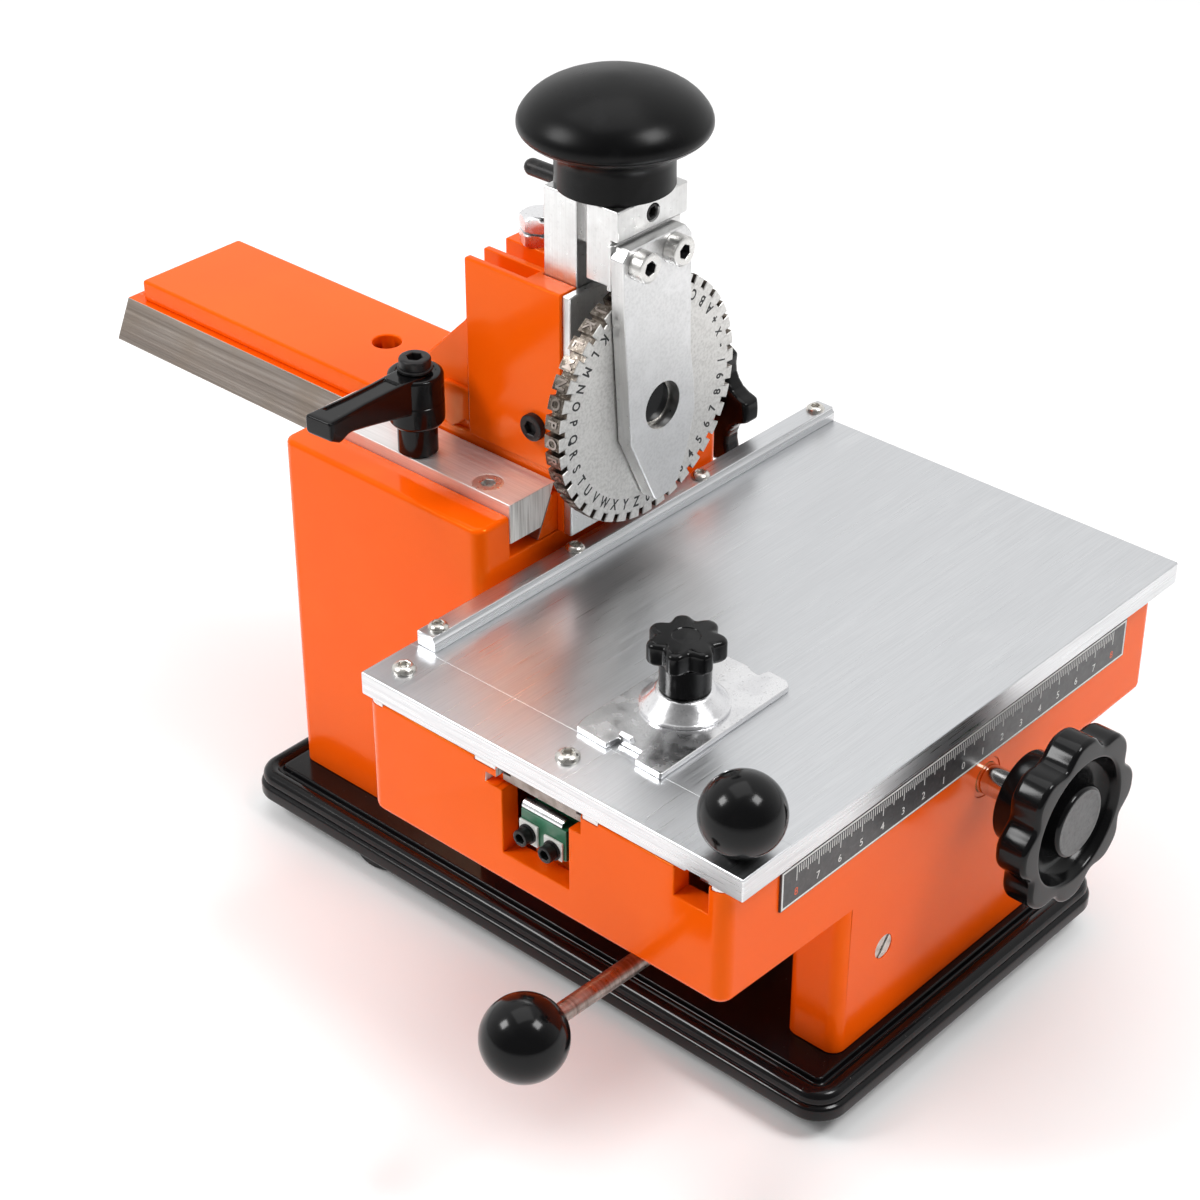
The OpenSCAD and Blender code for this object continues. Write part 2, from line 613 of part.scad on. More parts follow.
module palm_knob() {
  r = knob_d / 2;
  color([0.04, 0.04, 0.04]) at() translate([cx, 145.7, 0]) rotate_extrude() difference() {
    polygon([[0, 122.3], [18, 122.3], [18.6, 123], [18.4, 132], [18.8, 134.4], [20.4, 136.2], [24, 137.6],
      [r - 2.4, 139.2], [r - 0.6, 140.6], [r, 142.4], [r - 0.5, 144.2], [r - 2.2, 146.6], [r - 5.4, 149.6],
      [r - 9.6, 152.3], [r - 15, 154.6], [r - 21, 156.2], [4.5, 156.95], [0, 157]]);
    translate([-1, 120]) square([5, 17]);
  }
}
module knob_stud() {
  color([0.6, 0.6, 0.6]) at() cyz(cx, 145.7, 8, 107, 136.5);
}
module set_screw() {
  color([0.06, 0.06, 0.07]) at() difference() {
    cyy(cx, 117.2, 6, 130.9, 141);
    translate([cx, 134, 117.2]) rotate([90, 0, 0]) cylinder(d = 3.6, h = 4, $fn = 6);
  }
}
module stop_pin() {
  color([0.06, 0.06, 0.07]) at() union() {
    cyy(cx, 117.2, 5.6, 152, 180.5);
    translate([cx, 180.5, 117.2]) rotate([-90, 0, 0]) cylinder(d1 = 5.6, d2 = 3.4, h = 1.4);
  }
}
module fork_plate() {
  color([0.68, 0.69, 0.7]) at() difference() {
    prof_y(126.1, 131.5) polygon([[95.4, 111.2], [92.5, 108.2], [93.4, 88.5], [95, 67.7], [96.5, 44.9], [107.7, 21.4],
      [109.2, 20.2], [115.2, 20.9], [118.4, 23], [121.9, 29.4], [124.7, 37.5], [126.8, 46.2], [126.2, 56.1],
      [124.3, 67.6], [123.7, 107.6], [120.8, 111.2]]);
    cyy(dx, dz, 15.9, 126, 132);
    for (x = fork_x) cyy(x, fork_z, 6, 126, 132);
  }
}
module fork_screws() {
  color([0.82, 0.82, 0.83]) at() for (x = fork_x) difference() {
    union() {
      cyy(x, fork_z, 9.6, 121.3, 126.1);
      cyy(x, fork_z, 6, 126.1, 140);
    }
    translate([x, 124, fork_z]) rotate([90, 0, 0]) cylinder(d = 4.9, h = 4, $fn = 6);
  }
}
module spacer_plate() {
  color([0.75, 0.75, 0.75]) at() difference() {
    bx(92.9, 124.6, 131.5, 133, 97, 111.6);
    for (x = fork_x) cyy(x, fork_z, 6, 131, 134);
  }
}
module dial_axle() {
  color([0.12, 0.12, 0.13]) at() union() {
    cyy(dx, dz, 13.2, 129.4, 130.6);
    cyy(dx, dz, dial_bore - 0.1, 130.5, 138.35);
    cyy(dx, dz, 19, 138.35, 140.4);
  }
}
module axle_ring() {
  color([0.08, 0.08, 0.09]) at() difference() {
    cyy(dx, dz, 15.8, 130.5, 131.5);
    cyy(dx, dz, dial_bore - 0.1, 130, 132);
  }
}
module index_plunger() {
  color([0.6, 0.6, 0.6]) at() union() {
    cyz(dx, 136.2, 2.4, 95.6, 104);
    translate([dx, 136.2, 94.6]) cylinder(d1 = 1.2, d2 = 2.4, h = 1);
  }
}
module type_dial() {
  color([0.6, 0.6, 0.59]) at() difference() {
    cyy(dx, dz, dial_d, 131.8, 131.8 + dial_t);
    cyy(dx, dz, dial_bore, 131, 139);
    for (i = [0:dial_n - 1]) translate([dx, 131, dz]) rotate([0, (i + 0.5) * 360 / dial_n, 0])
      translate([-0.85, 0, dial_d / 2 - 2.4]) cube([1.7, 9, 4]);
  }
}

// ---------- clamping lever, lock knob, brake lever ----------
module clamp_lever_handle() {
  color([0.06, 0.06, 0.065]) at() translate([72.6, 195.5, -2.6]) difference() {
    union() {
      cyz(0, 0, 13, 30.3, 42);
      translate([0, 0, 40.5]) cylinder(d1 = 16, d2 = 18, h = 1.5);
      cyz(0, 0, 18, 42, 58.6);
      rotate([0, 0, 4]) prof_y(-4.8, 4.8)
        polygon([[0, 46.8], [-6, 46.6], [-36, 53.6], [-40, 52], [-44.6, 54.4], [-44.6, 60.6], [-8, 59.2], [0, 58.6]]);
    }
    cyz(0, 0, 8, 30, 60);
  }
}
module clamp_lever_screw() {
  color([0.06, 0.06, 0.065]) at() translate([72.6, 195.5, -2.6]) difference() {
    union() {
      cyz(0, 0, 8, 4.1, 59.4);
      cyz(0, 0, 11.4, 59.3, 60.4);
      cyz(0, 0, 10.4, 60.4, 63.6);
    }
    translate([0, 0, 61]) cylinder(d = 5, h = 4, $fn = 6);
  }
}
module lock_star_knob() {
  color([0.05, 0.05, 0.055]) at() translate([0, 170, 13.5]) union() {
    cyx(0, 0, 18, 169.5, 178.2);
    cyx(0, 0, 8, 142.4, 169.6);
    translate([178, 0, 0]) rotate([90, 0, 90]) rotate(-3) linear_extrude(8)
      polygon([for (i = [0:lock_lobes - 1]) each [for (q = [[-9, 23.5], [9, 23.5], [14, 20.6], [21, 18.6], [30, 17.9], [39, 18.6], [46, 20.6]])
        let (a = i * 360 / lock_lobes + q[0] * 6 / lock_lobes) [q[1] * cos(a), q[1] * sin(a)]]]);
  }
}
rod_ang = atan2(4.7, 104.5);
module lever_ball() {
  color([0.04, 0.04, 0.04]) at() translate([-40.5, 43.5, -55]) rotate([0, 90 + rod_ang, 0]) difference() {
    rotate_extrude() intersection() { circle(d = lever_ball_d); translate([0, -20]) square([20, 40]); }
    cylinder(d = rod_d, h = 20);
  }
}
module lever_rod() {
  color([0.35, 0.3, 0.28]) at() translate([-40.5, 43.5, -55]) rotate([0, 90 + rod_ang, 0])
    cylinder(d = rod_d, h = 99.5);
}
module brake_arm() {
  color([0.5, 0.5, 0.52]) at() difference() {
    union() {
      cyy(lvx, lvz, 15, 37, 72);
      prof_y(64.4, 71.4) polygon([[59, -58], [70, -60], [74, -48], [82, -22], [84, -20.6], [84, -16.1], [76, -16.1],
        [75, -20], [69.5, -38], [64, -50]]);
    }
    cyy(lvx, lvz, 8.12, 36, 82);
    translate([-40.5, 43.5, -55]) rotate([0, 90 + rod_ang, 0]) cylinder(d = rod_d, h = 99.5);
  }
}

base_plate();
rubber_feet();
column_casting();
bed_casting();
casting_bolts();
gib_bar();
guide_bar_right();
gib_screws();
ruler_strip();
slide_liners();
guide_blocks();
front_bush();
slotted_plug();
support_bracket();
bracket_pads();
bracket_screws();
support_bar();
anvil_block();
lever_spring();
lever_pivot_pin();
table_plate();
end_strip();
work_rail();
table_screws();
table_ball();
front_rail();
rear_rail();
drive_rack();
clamp_stud();
clamp_plate();
cone_washer();
clamp_star_knob();
handwheel();
wheel_shaft();
drive_pinion();
slide_bar();
head_casting();
cover_plate();
stop_bolt();
stop_nut();
wall_screw();
return_springs();
ram_block();
palm_knob();
knob_stud();
set_screw();
stop_pin();
fork_plate();
fork_screws();
spacer_plate();
dial_axle();
axle_ring();
index_plunger();
type_dial();
clamp_lever_handle();
clamp_lever_screw();
lock_star_knob();
lever_ball();
lever_rod();
brake_arm();
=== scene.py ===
import json
import math

import bmesh
import bpy
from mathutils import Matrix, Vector


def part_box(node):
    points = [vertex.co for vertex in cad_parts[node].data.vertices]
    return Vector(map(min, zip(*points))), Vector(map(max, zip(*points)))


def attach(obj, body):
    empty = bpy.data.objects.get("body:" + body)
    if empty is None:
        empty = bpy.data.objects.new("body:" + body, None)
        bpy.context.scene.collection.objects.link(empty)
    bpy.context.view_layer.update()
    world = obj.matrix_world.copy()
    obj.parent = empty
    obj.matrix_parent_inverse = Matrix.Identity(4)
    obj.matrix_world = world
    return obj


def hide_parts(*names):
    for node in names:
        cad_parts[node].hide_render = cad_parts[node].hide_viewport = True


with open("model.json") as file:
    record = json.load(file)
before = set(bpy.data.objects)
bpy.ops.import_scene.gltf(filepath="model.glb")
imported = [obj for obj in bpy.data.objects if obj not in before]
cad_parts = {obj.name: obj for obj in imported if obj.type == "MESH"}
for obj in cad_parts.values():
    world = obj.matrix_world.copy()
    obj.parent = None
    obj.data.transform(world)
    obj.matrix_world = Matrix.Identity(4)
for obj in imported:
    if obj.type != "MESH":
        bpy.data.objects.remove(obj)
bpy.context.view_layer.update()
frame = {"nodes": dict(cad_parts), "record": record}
NODES = frame["nodes"]
BODY = {n: b for b, ns in frame["record"]["behaviour"]["bodies"].items() for n in ns}
SLOT = {s["node"]: s["material_slot"] for s in frame["record"]["subparts"] if "material_slot" in s}
scene = bpy.context.scene
PI = math.pi
cos, sin, rad = math.cos, math.sin, math.radians

# Working frame in millimetres: origin at the table top's front left corner, table top at z = 0.
def W(p):
    return Vector(((p[0] - 81.75) / 1000, (p[1] - 164) / 1000, (p[2] + 123) / 1000))


def CAL(v):
    return (v[0] * 1000 + 81.75, v[1] * 1000 + 164, v[2] * 1000 - 123)


# ------------------------------------------------------------------ materials
def mat(name, base, rough=0.4, metal=0.0, coat=0.0, coat_rough=0.05, spec=0.5, tints=(), rvar=None, bumps=()):
    """Principled material. tints: (scale, stretch, detail, lo, hi, colour, amount). rvar: (scale, stretch,
    detail, lo, hi, r0, r1). bumps: (scale, stretch, detail, distance, strength)."""
    m = bpy.data.materials.new(name)
    m.use_nodes = True
    nt = m.node_tree
    N, L = nt.nodes, nt.links
    b = next(n for n in N if n.type == "BSDF_PRINCIPLED")
    b.inputs["Base Color"].default_value = (*base, 1)
    b.inputs["Roughness"].default_value = rough
    b.inputs["Metallic"].default_value = metal
    b.inputs["Specular IOR Level"].default_value = spec
    b.inputs["Coat Weight"].default_value = coat
    b.inputs["Coat Roughness"].default_value = coat_rough
    co = N.new("ShaderNodeTexCoord")

    def noise(scale, stretch, detail):
        mp = N.new("ShaderNodeMapping")
        mp.inputs["Scale"].default_value = [scale * s for s in stretch]
        L.new(co.outputs["Object"], mp.inputs["Vector"])
        nz = N.new("ShaderNodeTexNoise")
        nz.inputs["Scale"].default_value = 1.0
        nz.inputs["Detail"].default_value = detail
        L.new(mp.outputs["Vector"], nz.inputs["Vector"])
        return nz.outputs["Fac"]

    def span(src, a, c, d, e):
        mr = N.new("ShaderNodeMapRange")
        for k, v in zip(("From Min", "From Max", "To Min", "To Max"), (a, c, d, e)):
            mr.inputs[k].default_value = v
        L.new(src, mr.inputs["Value"])
        return mr.outputs["Result"]

    last = None
    for scale, stretch, detail, lo, hi, colour, amount in tints:
        mx = N.new("ShaderNodeMix")
        mx.data_type = "RGBA"
        L.new(span(noise(scale, stretch, detail), lo, hi, 0.0, amount), mx.inputs["Factor"])
        if last is None:
            mx.inputs["A"].default_value = (*base, 1)
            a_in = [s for s in mx.inputs if s.name == "A" and s.type == "RGBA"][0]
            a_in.default_value = (*base, 1)
        else:
            a_in = [s for s in mx.inputs if s.name == "A" and s.type == "RGBA"][0]
            L.new(last, a_in)
        b_in = [s for s in mx.inputs if s.name == "B" and s.type == "RGBA"][0]
        b_in.default_value = (*colour, 1)
        last = [s for s in mx.outputs if s.name == "Result" and s.type == "RGBA"][0]
    if last is not None:
        L.new(last, b.inputs["Base Color"])
    if rvar:
        scale, stretch, detail, lo, hi, r0, r1 = rvar
        L.new(span(noise(scale, stretch, detail), lo, hi, r0, r1), b.inputs["Roughness"])
    prev = None
    for scale, stretch, detail, dist, strength in bumps:
        bp = N.new("ShaderNodeBump")
        bp.inputs["Strength"].default_value = strength
        bp.inputs["Distance"].default_value = dist
        L.new(noise(scale, stretch, detail), bp.inputs["Height"])
        if prev is not None:
            L.new(prev, bp.inputs["Normal"])
        prev = bp.outputs["Normal"]
    if prev is not None:
        L.new(prev, b.inputs["Normal"])
    return m


ONE = (1, 1, 1)
ALONG_X = (0.012, 1, 1)
ALONG_Y = (1, 0.012, 1)
ALONG_Z = (1, 1, 0.012)
M = {}
M["orange_paint"] = mat("orange_paint", (0.93, 0.104, 0.0014), 0.13, 0, 0, 0.06, 0.27,
    tints=[(7, ONE, 2, 0.3, 0.7, (0.87, 0.09, 0.0012), 0.6), (45, ONE, 3, 0.35, 0.7, (0.96, 0.118, 0.0018), 0.35)],
    rvar=(18, ONE, 3, 0.3, 0.7, 0.09, 0.2),
    bumps=[(330, ONE, 1, 0.00004, 0.1), (38, ONE, 1, 0.0005, 0.035)])
M["orange_bare"] = mat("orange_worn", (0.88, 0.098, 0.0016), 0.3, 0, 0, 0.12, 0.27,
    tints=[(420, ONE, 5, 0.64, 0.74, (0.42, 0.26, 0.18), 0.5), (14, ONE, 3, 0.4, 0.7, (0.93, 0.112, 0.0022), 0.6)],
    rvar=(160, ONE, 4, 0.35, 0.7, 0.2, 0.42), bumps=[(400, ONE, 3, 0.00006, 0.2)])
for k in ("orange_paint", "orange_bare"):
    next(n for n in M[k].node_tree.nodes if n.type == "BSDF_PRINCIPLED").inputs["Specular Tint"].default_value = (1, 0.75, 0.1, 1)
M["black_enamel"] = mat("black_enamel", (0.0035, 0.0033, 0.0038), 0.14, 0, 0, 0.09, 0.26,
    tints=[(60, ONE, 4, 0.55, 0.75, (0.008, 0.008, 0.009), 0.7), (1300, ONE, 2, 0.755, 0.79, (0.16, 0.15, 0.14), 0.8)],
    rvar=(26, ONE, 4, 0.3, 0.7, 0.1, 0.24),
    bumps=[(500, ONE, 2, 0.00004, 0.1), (60, ONE, 1, 0.0004, 0.05)])
M["foot_rubber"] = mat("foot_rubber", (0.016, 0.016, 0.017), 0.7, spec=0.35,
    tints=[(160, ONE, 4, 0.45, 0.75, (0.035, 0.034, 0.033), 0.8)], rvar=(300, ONE, 3, 0.3, 0.7, 0.6, 0.85),
    bumps=[(1600, ONE, 3, 0.0001, 0.3)])
M["screw_steel"] = mat("screw_steel", (0.68, 0.66, 0.62), 0.26, 1,
    tints=[(500, ONE, 4, 0.45, 0.7, (0.42, 0.39, 0.35), 0.7)], rvar=(700, ONE, 3, 0.3, 0.7, 0.18, 0.4),
    bumps=[(1500, ONE, 3, 0.00003, 0.2)])
M["guide_aluminium"] = mat("guide_aluminium", (0.84, 0.83, 0.82), 0.42, 0.75, spec=0.4,
    tints=[(1900, ALONG_Y, 3, 0.4, 0.66, (0.68, 0.67, 0.66), 0.55), (50, ONE, 3, 0.5, 0.75, (0.72, 0.7, 0.68), 0.5)],
    rvar=(1200, ALONG_Y, 3, 0.3, 0.7, 0.34, 0.52), bumps=[(1900, ALONG_Y, 3, 0.00004, 0.2)])
M["milled_end"] = mat("milled_end", (0.86, 0.85, 0.82), 0.55, 0.25,
    tints=[(1300, (1, 1, 0.03), 4, 0.42, 0.62, (0.45, 0.43, 0.4), 0.65)], rvar=(900, ALONG_Z, 3, 0.3, 0.7, 0.4, 0.7),
    bumps=[(1100, (1, 1, 0.03), 3, 0.0002, 0.5)])
M["ruler_black"] = mat("ruler_black", (0.028, 0.028, 0.03), 0.34, 0, 0.2, 0.2, 0.5,
    tints=[(700, ONE, 4, 0.5, 0.75, (0.06, 0.06, 0.062), 0.8)], rvar=(400, ONE, 3, 0.3, 0.7, 0.28, 0.45),
    bumps=[(1500, ONE, 2, 0.00003, 0.15)])
M["ruler_white"] = mat("ruler_white", (0.76, 0.76, 0.74), 0.5,
    tints=[(900, ONE, 4, 0.5, 0.75, (0.56, 0.56, 0.55), 0.5)], bumps=[(2000, ONE, 2, 0.00002, 0.15)])
M["ruler_orange"] = mat("ruler_orange", (0.8, 0.11, 0.02), 0.5,
    tints=[(900, ONE, 4, 0.45, 0.7, (0.5, 0.08, 0.02), 0.6)], bumps=[(2000, ONE, 2, 0.00002, 0.15)])
M["bush_brass"] = mat("bush_brass", (0.68, 0.45, 0.16), 0.3, 1,
    tints=[(300, ONE, 4, 0.45, 0.7, (0.45, 0.28, 0.1), 0.6)], rvar=(500, ONE, 3, 0.3, 0.7, 0.22, 0.42),
    bumps=[(1500, ONE, 3, 0.00004, 0.2)])
M["green_paint"] = mat("green_paint", (0.012, 0.12, 0.055), 0.4, 0, 0.3, 0.15, 0.5,
    tints=[(260, ONE, 4, 0.5, 0.72, (0.02, 0.2, 0.1), 0.7)], rvar=(300, ONE, 3, 0.3, 0.7, 0.3, 0.5),
    bumps=[(900, ONE, 3, 0.00006, 0.25)])
M["pad_white"] = mat("pad_white", (0.78, 0.78, 0.74), 0.5,
    tints=[(300, ONE, 4, 0.5, 0.72, (0.6, 0.6, 0.55), 0.6)], rvar=(300, ONE, 3, 0.3, 0.7, 0.4, 0.6),
    bumps=[(1200, ONE, 3, 0.00004, 0.2)])
M["black_steel"] = mat("black_steel", (0.014, 0.0135, 0.014), 0.34, 0.3, spec=0.3,
    tints=[(420, ONE, 4, 0.5, 0.75, (0.045, 0.04, 0.037), 0.7)], rvar=(500, ONE, 4, 0.3, 0.7, 0.26, 0.46),
    bumps=[(1500, ONE, 3, 0.00005, 0.25)])
M["bright_zinc"] = mat("bright_zinc", (0.82, 0.82, 0.83), 0.2, 1,
    tints=[(90, ONE, 4, 0.45, 0.72, (0.6, 0.6, 0.62), 0.6), (1300, ONE, 3, 0.6, 0.72, (0.45, 0.45, 0.46), 0.5)],
    rvar=(160, ONE, 4, 0.3, 0.7, 0.14, 0.34), bumps=[(900, ONE, 3, 0.00004, 0.2)])
M["dark_steel"] = mat("dark_steel", (0.33, 0.29, 0.265), 0.34, 1,
    tints=[(220, ONE, 5, 0.45, 0.7, (0.17, 0.135, 0.115), 0.8)], rvar=(400, ONE, 4, 0.3, 0.7, 0.25, 0.48),
    bumps=[(1200, ONE, 3, 0.00005, 0.25)])
M["rod_steel"] = mat("rod_steel", (0.32, 0.26, 0.235), 0.34, 1,
    tints=[(900, (1, 0.05, 0.05), 3, 0.42, 0.62, (0.16, 0.12, 0.105), 0.75), (90, ONE, 4, 0.5, 0.7, (0.42, 0.36, 0.33), 0.6)],
    rvar=(300, ONE, 4, 0.3, 0.7, 0.24, 0.46), bumps=[(1500, (1, 0.05, 0.05), 3, 0.00008, 0.35)])
M["bright_shaft"] = mat("bright_shaft", (0.72, 0.71, 0.7), 0.13, 1,
    tints=[(900, (0.05, 1, 0.05), 3, 0.46, 0.7, (0.55, 0.54, 0.53), 0.5)],
    rvar=(300, ONE, 4, 0.3, 0.7, 0.09, 0.18), bumps=[(1600, (0.05, 1, 0.05), 3, 0.00003, 0.15)])
M["table_steel"] = mat("table_steel", (0.65, 0.66, 0.675), 0.33, 1,
    tints=[(3600, ALONG_X, 3, 0.4, 0.64, (0.53, 0.54, 0.555), 0.5), (22, (0.5, 1.6, 1), 3, 0.42, 0.66, (0.59, 0.6, 0.615), 0.5),
           (160, (0.25, 1, 1), 4, 0.6, 0.78, (0.73, 0.74, 0.75), 0.4)],
    rvar=(2600, ALONG_X, 3, 0.3, 0.7, 0.27, 0.4),
    bumps=[(3600, ALONG_X, 2, 0.00003, 0.18), (90, (0.4, 1, 1), 1, 0.0001, 0.04)])
M["table_edge"] = mat("table_edge", (0.72, 0.73, 0.74), 0.3, 1,
    tints=[(1500, (0.02, 0.02, 1), 4, 0.4, 0.64, (0.56, 0.56, 0.57), 0.6)],
    rvar=(1500, (0.02, 0.02, 1), 3, 0.3, 0.7, 0.22, 0.4), bumps=[(1500, (0.02, 0.02, 1), 3, 0.00007, 0.3)])
M["black_phenolic"] = mat("black_phenolic", (0.0032, 0.0032, 0.0035), 0.13, 0, 0, 0.05, 0.22,
    tints=[(120, ONE, 4, 0.56, 0.75, (0.007, 0.007, 0.0075), 0.8)], rvar=(60, ONE, 4, 0.3, 0.7, 0.1, 0.19),
    bumps=[(500, ONE, 2, 0.00003, 0.08)])
M["black_knob"] = mat("black_knob", (0.0022, 0.0022, 0.0024), 0.24, 0, 0, 0.05, 0.15,
    tints=[(120, ONE, 4, 0.56, 0.75, (0.007, 0.007, 0.0075), 0.8)], rvar=(40, ONE, 4, 0.3, 0.7, 0.26, 0.36),
    bumps=[(700, ONE, 2, 0.00004, 0.14)])
M["black_satin"] = mat("black_satin", (0.009, 0.009, 0.0095), 0.42, 0, 0, 0.1, 0.45,
    tints=[(300, ONE, 4, 0.5, 0.75, (0.02, 0.02, 0.021), 0.8)], rvar=(200, ONE, 4, 0.3, 0.7, 0.34, 0.5),
    bumps=[(1300, ONE, 3, 0.00006, 0.25)])
M["boss_grey"] = mat("boss_grey", (0.13, 0.13, 0.13), 0.5, 0, 0, 0.1, 0.3,
    tints=[(900, ONE, 4, 0.45, 0.7, (0.085, 0.085, 0.086), 0.7)], rvar=(400, ONE, 3, 0.3, 0.7, 0.42, 0.6),
    bumps=[(1500, ONE, 3, 0.00006, 0.3)])
M["bare_slide"] = mat("bare_slide", (0.36, 0.315, 0.28), 0.4, 1,
    tints=[(1200, ALONG_Y, 4, 0.4, 0.64, (0.22, 0.18, 0.155), 0.7), (60, ONE, 5, 0.45, 0.7, (0.3, 0.245, 0.2), 0.7)],
    rvar=(900, ALONG_Y, 3, 0.3, 0.7, 0.3, 0.52), bumps=[(1400, ALONG_Y, 3, 0.00008, 0.35)])
M["satin_head"] = mat("satin_head", (0.74, 0.74, 0.735), 0.33, 1,
    tints=[(1900, ALONG_Z, 3, 0.42, 0.66, (0.62, 0.62, 0.615), 0.45), (60, ONE, 4, 0.45, 0.7, (0.64, 0.635, 0.625), 0.6),
           (700, ONE, 4, 0.56, 0.72, (0.56, 0.555, 0.55), 0.4)],
    rvar=(500, ONE, 4, 0.3, 0.7, 0.27, 0.42), bumps=[(1900, ALONG_Z, 2, 0.00003, 0.16), (900, ONE, 2, 0.00003, 0.12)])
M["plate_steel"] = mat("plate_steel", (0.72, 0.72, 0.72), 0.36, 1,
    tints=[(900, ONE, 4, 0.42, 0.64, (0.58, 0.58, 0.58), 0.5), (120, ONE, 4, 0.5, 0.72, (0.78, 0.78, 0.785), 0.6)],
    rvar=(700, ONE, 4, 0.3, 0.7, 0.3, 0.44), bumps=[(1500, ONE, 3, 0.00005, 0.22)])
M["satin_screw"] = mat("satin_screw", (0.7, 0.69, 0.67), 0.3, 0.9,
    tints=[(500, ONE, 4, 0.45, 0.7, (0.6, 0.59, 0.57), 0.6)], rvar=(500, ONE, 3, 0.3, 0.7, 0.24, 0.38),
    bumps=[(1500, ONE, 3, 0.00003, 0.18)])
M["dial_steel"] = mat("dial_steel", (0.72, 0.71, 0.69), 0.42, 0.85, spec=0.4,
    tints=[(1000, ONE, 5, 0.42, 0.64, (0.52, 0.51, 0.49), 0.6), (90, ONE, 4, 0.5, 0.72, (0.78, 0.77, 0.75), 0.6)],
    rvar=(800, ONE, 4, 0.3, 0.7, 0.35, 0.5), bumps=[(1500, ONE, 3, 0.00006, 0.25)])
M["tooth_bronze"] = mat("tooth_bronze", (0.17, 0.148, 0.128), 0.4, 1,
    tints=[(420, ONE, 5, 0.42, 0.6, (0.06, 0.048, 0.038), 0.9), (1300, ONE, 3, 0.57, 0.68, (0.4, 0.36, 0.31), 0.6)],
    rvar=(500, ONE, 4, 0.3, 0.7, 0.26, 0.48), bumps=[(1100, ONE, 3, 0.0001, 0.45)])
# near-black for the engraved dial print; it is also painted into the fork screws' hex sockets as painted shade in the
# recess
M["print_and_socket_shade_black"] = mat("print_and_socket_shade_black", (0.012, 0.012, 0.013), 0.5,
    tints=[(1500, ONE, 4, 0.55, 0.75, (0.06, 0.06, 0.06), 0.8)], bumps=[(2000, ONE, 2, 0.00003, 0.2)])
# near-black for the insides of holes: painted shade where the holes fall dark
M["hole_dark"] = mat("hole_dark", (0.008, 0.008, 0.008), 0.6,
    tints=[(900, ONE, 4, 0.5, 0.75, (0.03, 0.028, 0.026), 0.8)], bumps=[(1500, ONE, 2, 0.00003, 0.2)])

for n, o in NODES.items():
    o.data.materials.clear()
    o.data.materials.append(M[SLOT[n]])


# ------------------------------------------------------------------ mesh tools
def put(name, me, body, mats, nodes=(), angle=35, face_mat=None, weighted=True):
    """Makes a piece of a mesh that is in row metres."""
    for m in mats:
        me.materials.append(m)
    if face_mat:
        for p in me.polygons:
            p.material_index = face_mat(CAL(p.center), p.normal)
    for p in me.polygons:
        p.use_smooth = True
    me.set_sharp_from_angle(angle=rad(angle))
    o = bpy.data.objects.new(name, me)
    scene.collection.objects.link(o)
    if weighted:
        wn = o.modifiers.new("normals", "WEIGHTED_NORMAL")
        wn.keep_sharp = True
    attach(o, body)
    if nodes:
        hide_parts(*nodes)
    return o


def make(name, parts, mats, node=None, body=None, nodes=None, angle=35, face_mat=None, weighted=True):
    """parts: list of (verts in working mm, faces[, material index])."""
    vs, fs, ids = [], [], []
    for part in parts:
        k = len(vs)
        vs += [W(v) for v in part[0]]
        fs += [[i + k for i in f] for f in part[1]]
        ids += [part[2] if len(part) > 2 else 0] * len(part[1])
    me = bpy.data.meshes.new(name)
    me.from_pydata(vs, [], fs)
    me.validate()
    if len(me.polygons) == len(ids):
        me.polygons.foreach_set("material_index", ids)
    bm = bmesh.new()
    bm.from_mesh(me)
    bmesh.ops.recalc_face_normals(bm, faces=bm.faces)
    bm.to_mesh(me)
    bm.free()
    nodes = nodes if nodes is not None else ([node] if node else [])
    ref = node or (nodes[0] if nodes else None)
    return put(name, me, body or BODY[ref], mats, nodes, angle, face_mat, weighted)


def polar(rows, O, U, V, H, seg=96, R=None, close=False, mi=0):
    """A turned or lobed form. rows: (height, radius[, share of R(angle)[, extra(angle)]])."""
    O, U, V, H = (Vector(a) for a in (O, U, V, H))
    vs, fs, rings = [], [], []
    for row in rows:
        h, a = row[0], row[1]
        k = row[2] if len(row) > 2 else 0
        fn = row[3] if len(row) > 3 else None
        if a == 0 and k == 0 and fn is None:
            rings.append([len(vs)])
            vs.append(O + H * h)
            continue
        ring = []
        for j in range(seg):
            t = 2 * PI * j / seg
            r = a + (k * R(t) if k else 0) + (fn(t) if fn else 0)
            ring.append(len(vs))
            vs.append(O + H * h + U * (r * cos(t)) + V * (r * sin(t)))
        rings.append(ring)
    pairs = list(zip(rings, rings[1:]))
    if close:
        pairs.append((rings[-1], rings[0]))
    for A, B in pairs:
        if len(A) == 1 and len(B) == 1:
            continue
        if len(A) == 1:
            fs += [[A[0], B[(j + 1) % seg], B[j]] for j in range(seg)]
        elif len(B) == 1:
            fs += [[A[j], A[(j + 1) % seg], B[0]] for j in range(seg)]
        else:
            fs += [[A[j], A[(j + 1) % seg], B[(j + 1) % seg], B[j]] for j in range(seg)]
    if not close:
        if len(rings[0]) > 1:
            fs.append(list(reversed(rings[0])))
        if len(rings[-1]) > 1:
            fs.append(list(rings[-1]))
    return vs, fs, mi


def loft(rings, cap=True, close=False, mi=0):
    n = len(rings[0])
    vs = [Vector(p) for r in rings for p in r]
    fs = []
    pairs = [(i, i + 1) for i in range(len(rings) - 1)]
    if close:
        pairs.append((len(rings) - 1, 0))
    for a, b in pairs:
        for j in range(n):
            q = (j + 1) % n
            fs.append([a * n + j, a * n + q, b * n + q, b * n + j])
    if cap and not close:
        fs.append([n - 1 - j for j in range(n)])
        fs.append([(len(rings) - 1) * n + j for j in range(n)])
    return vs, fs, mi


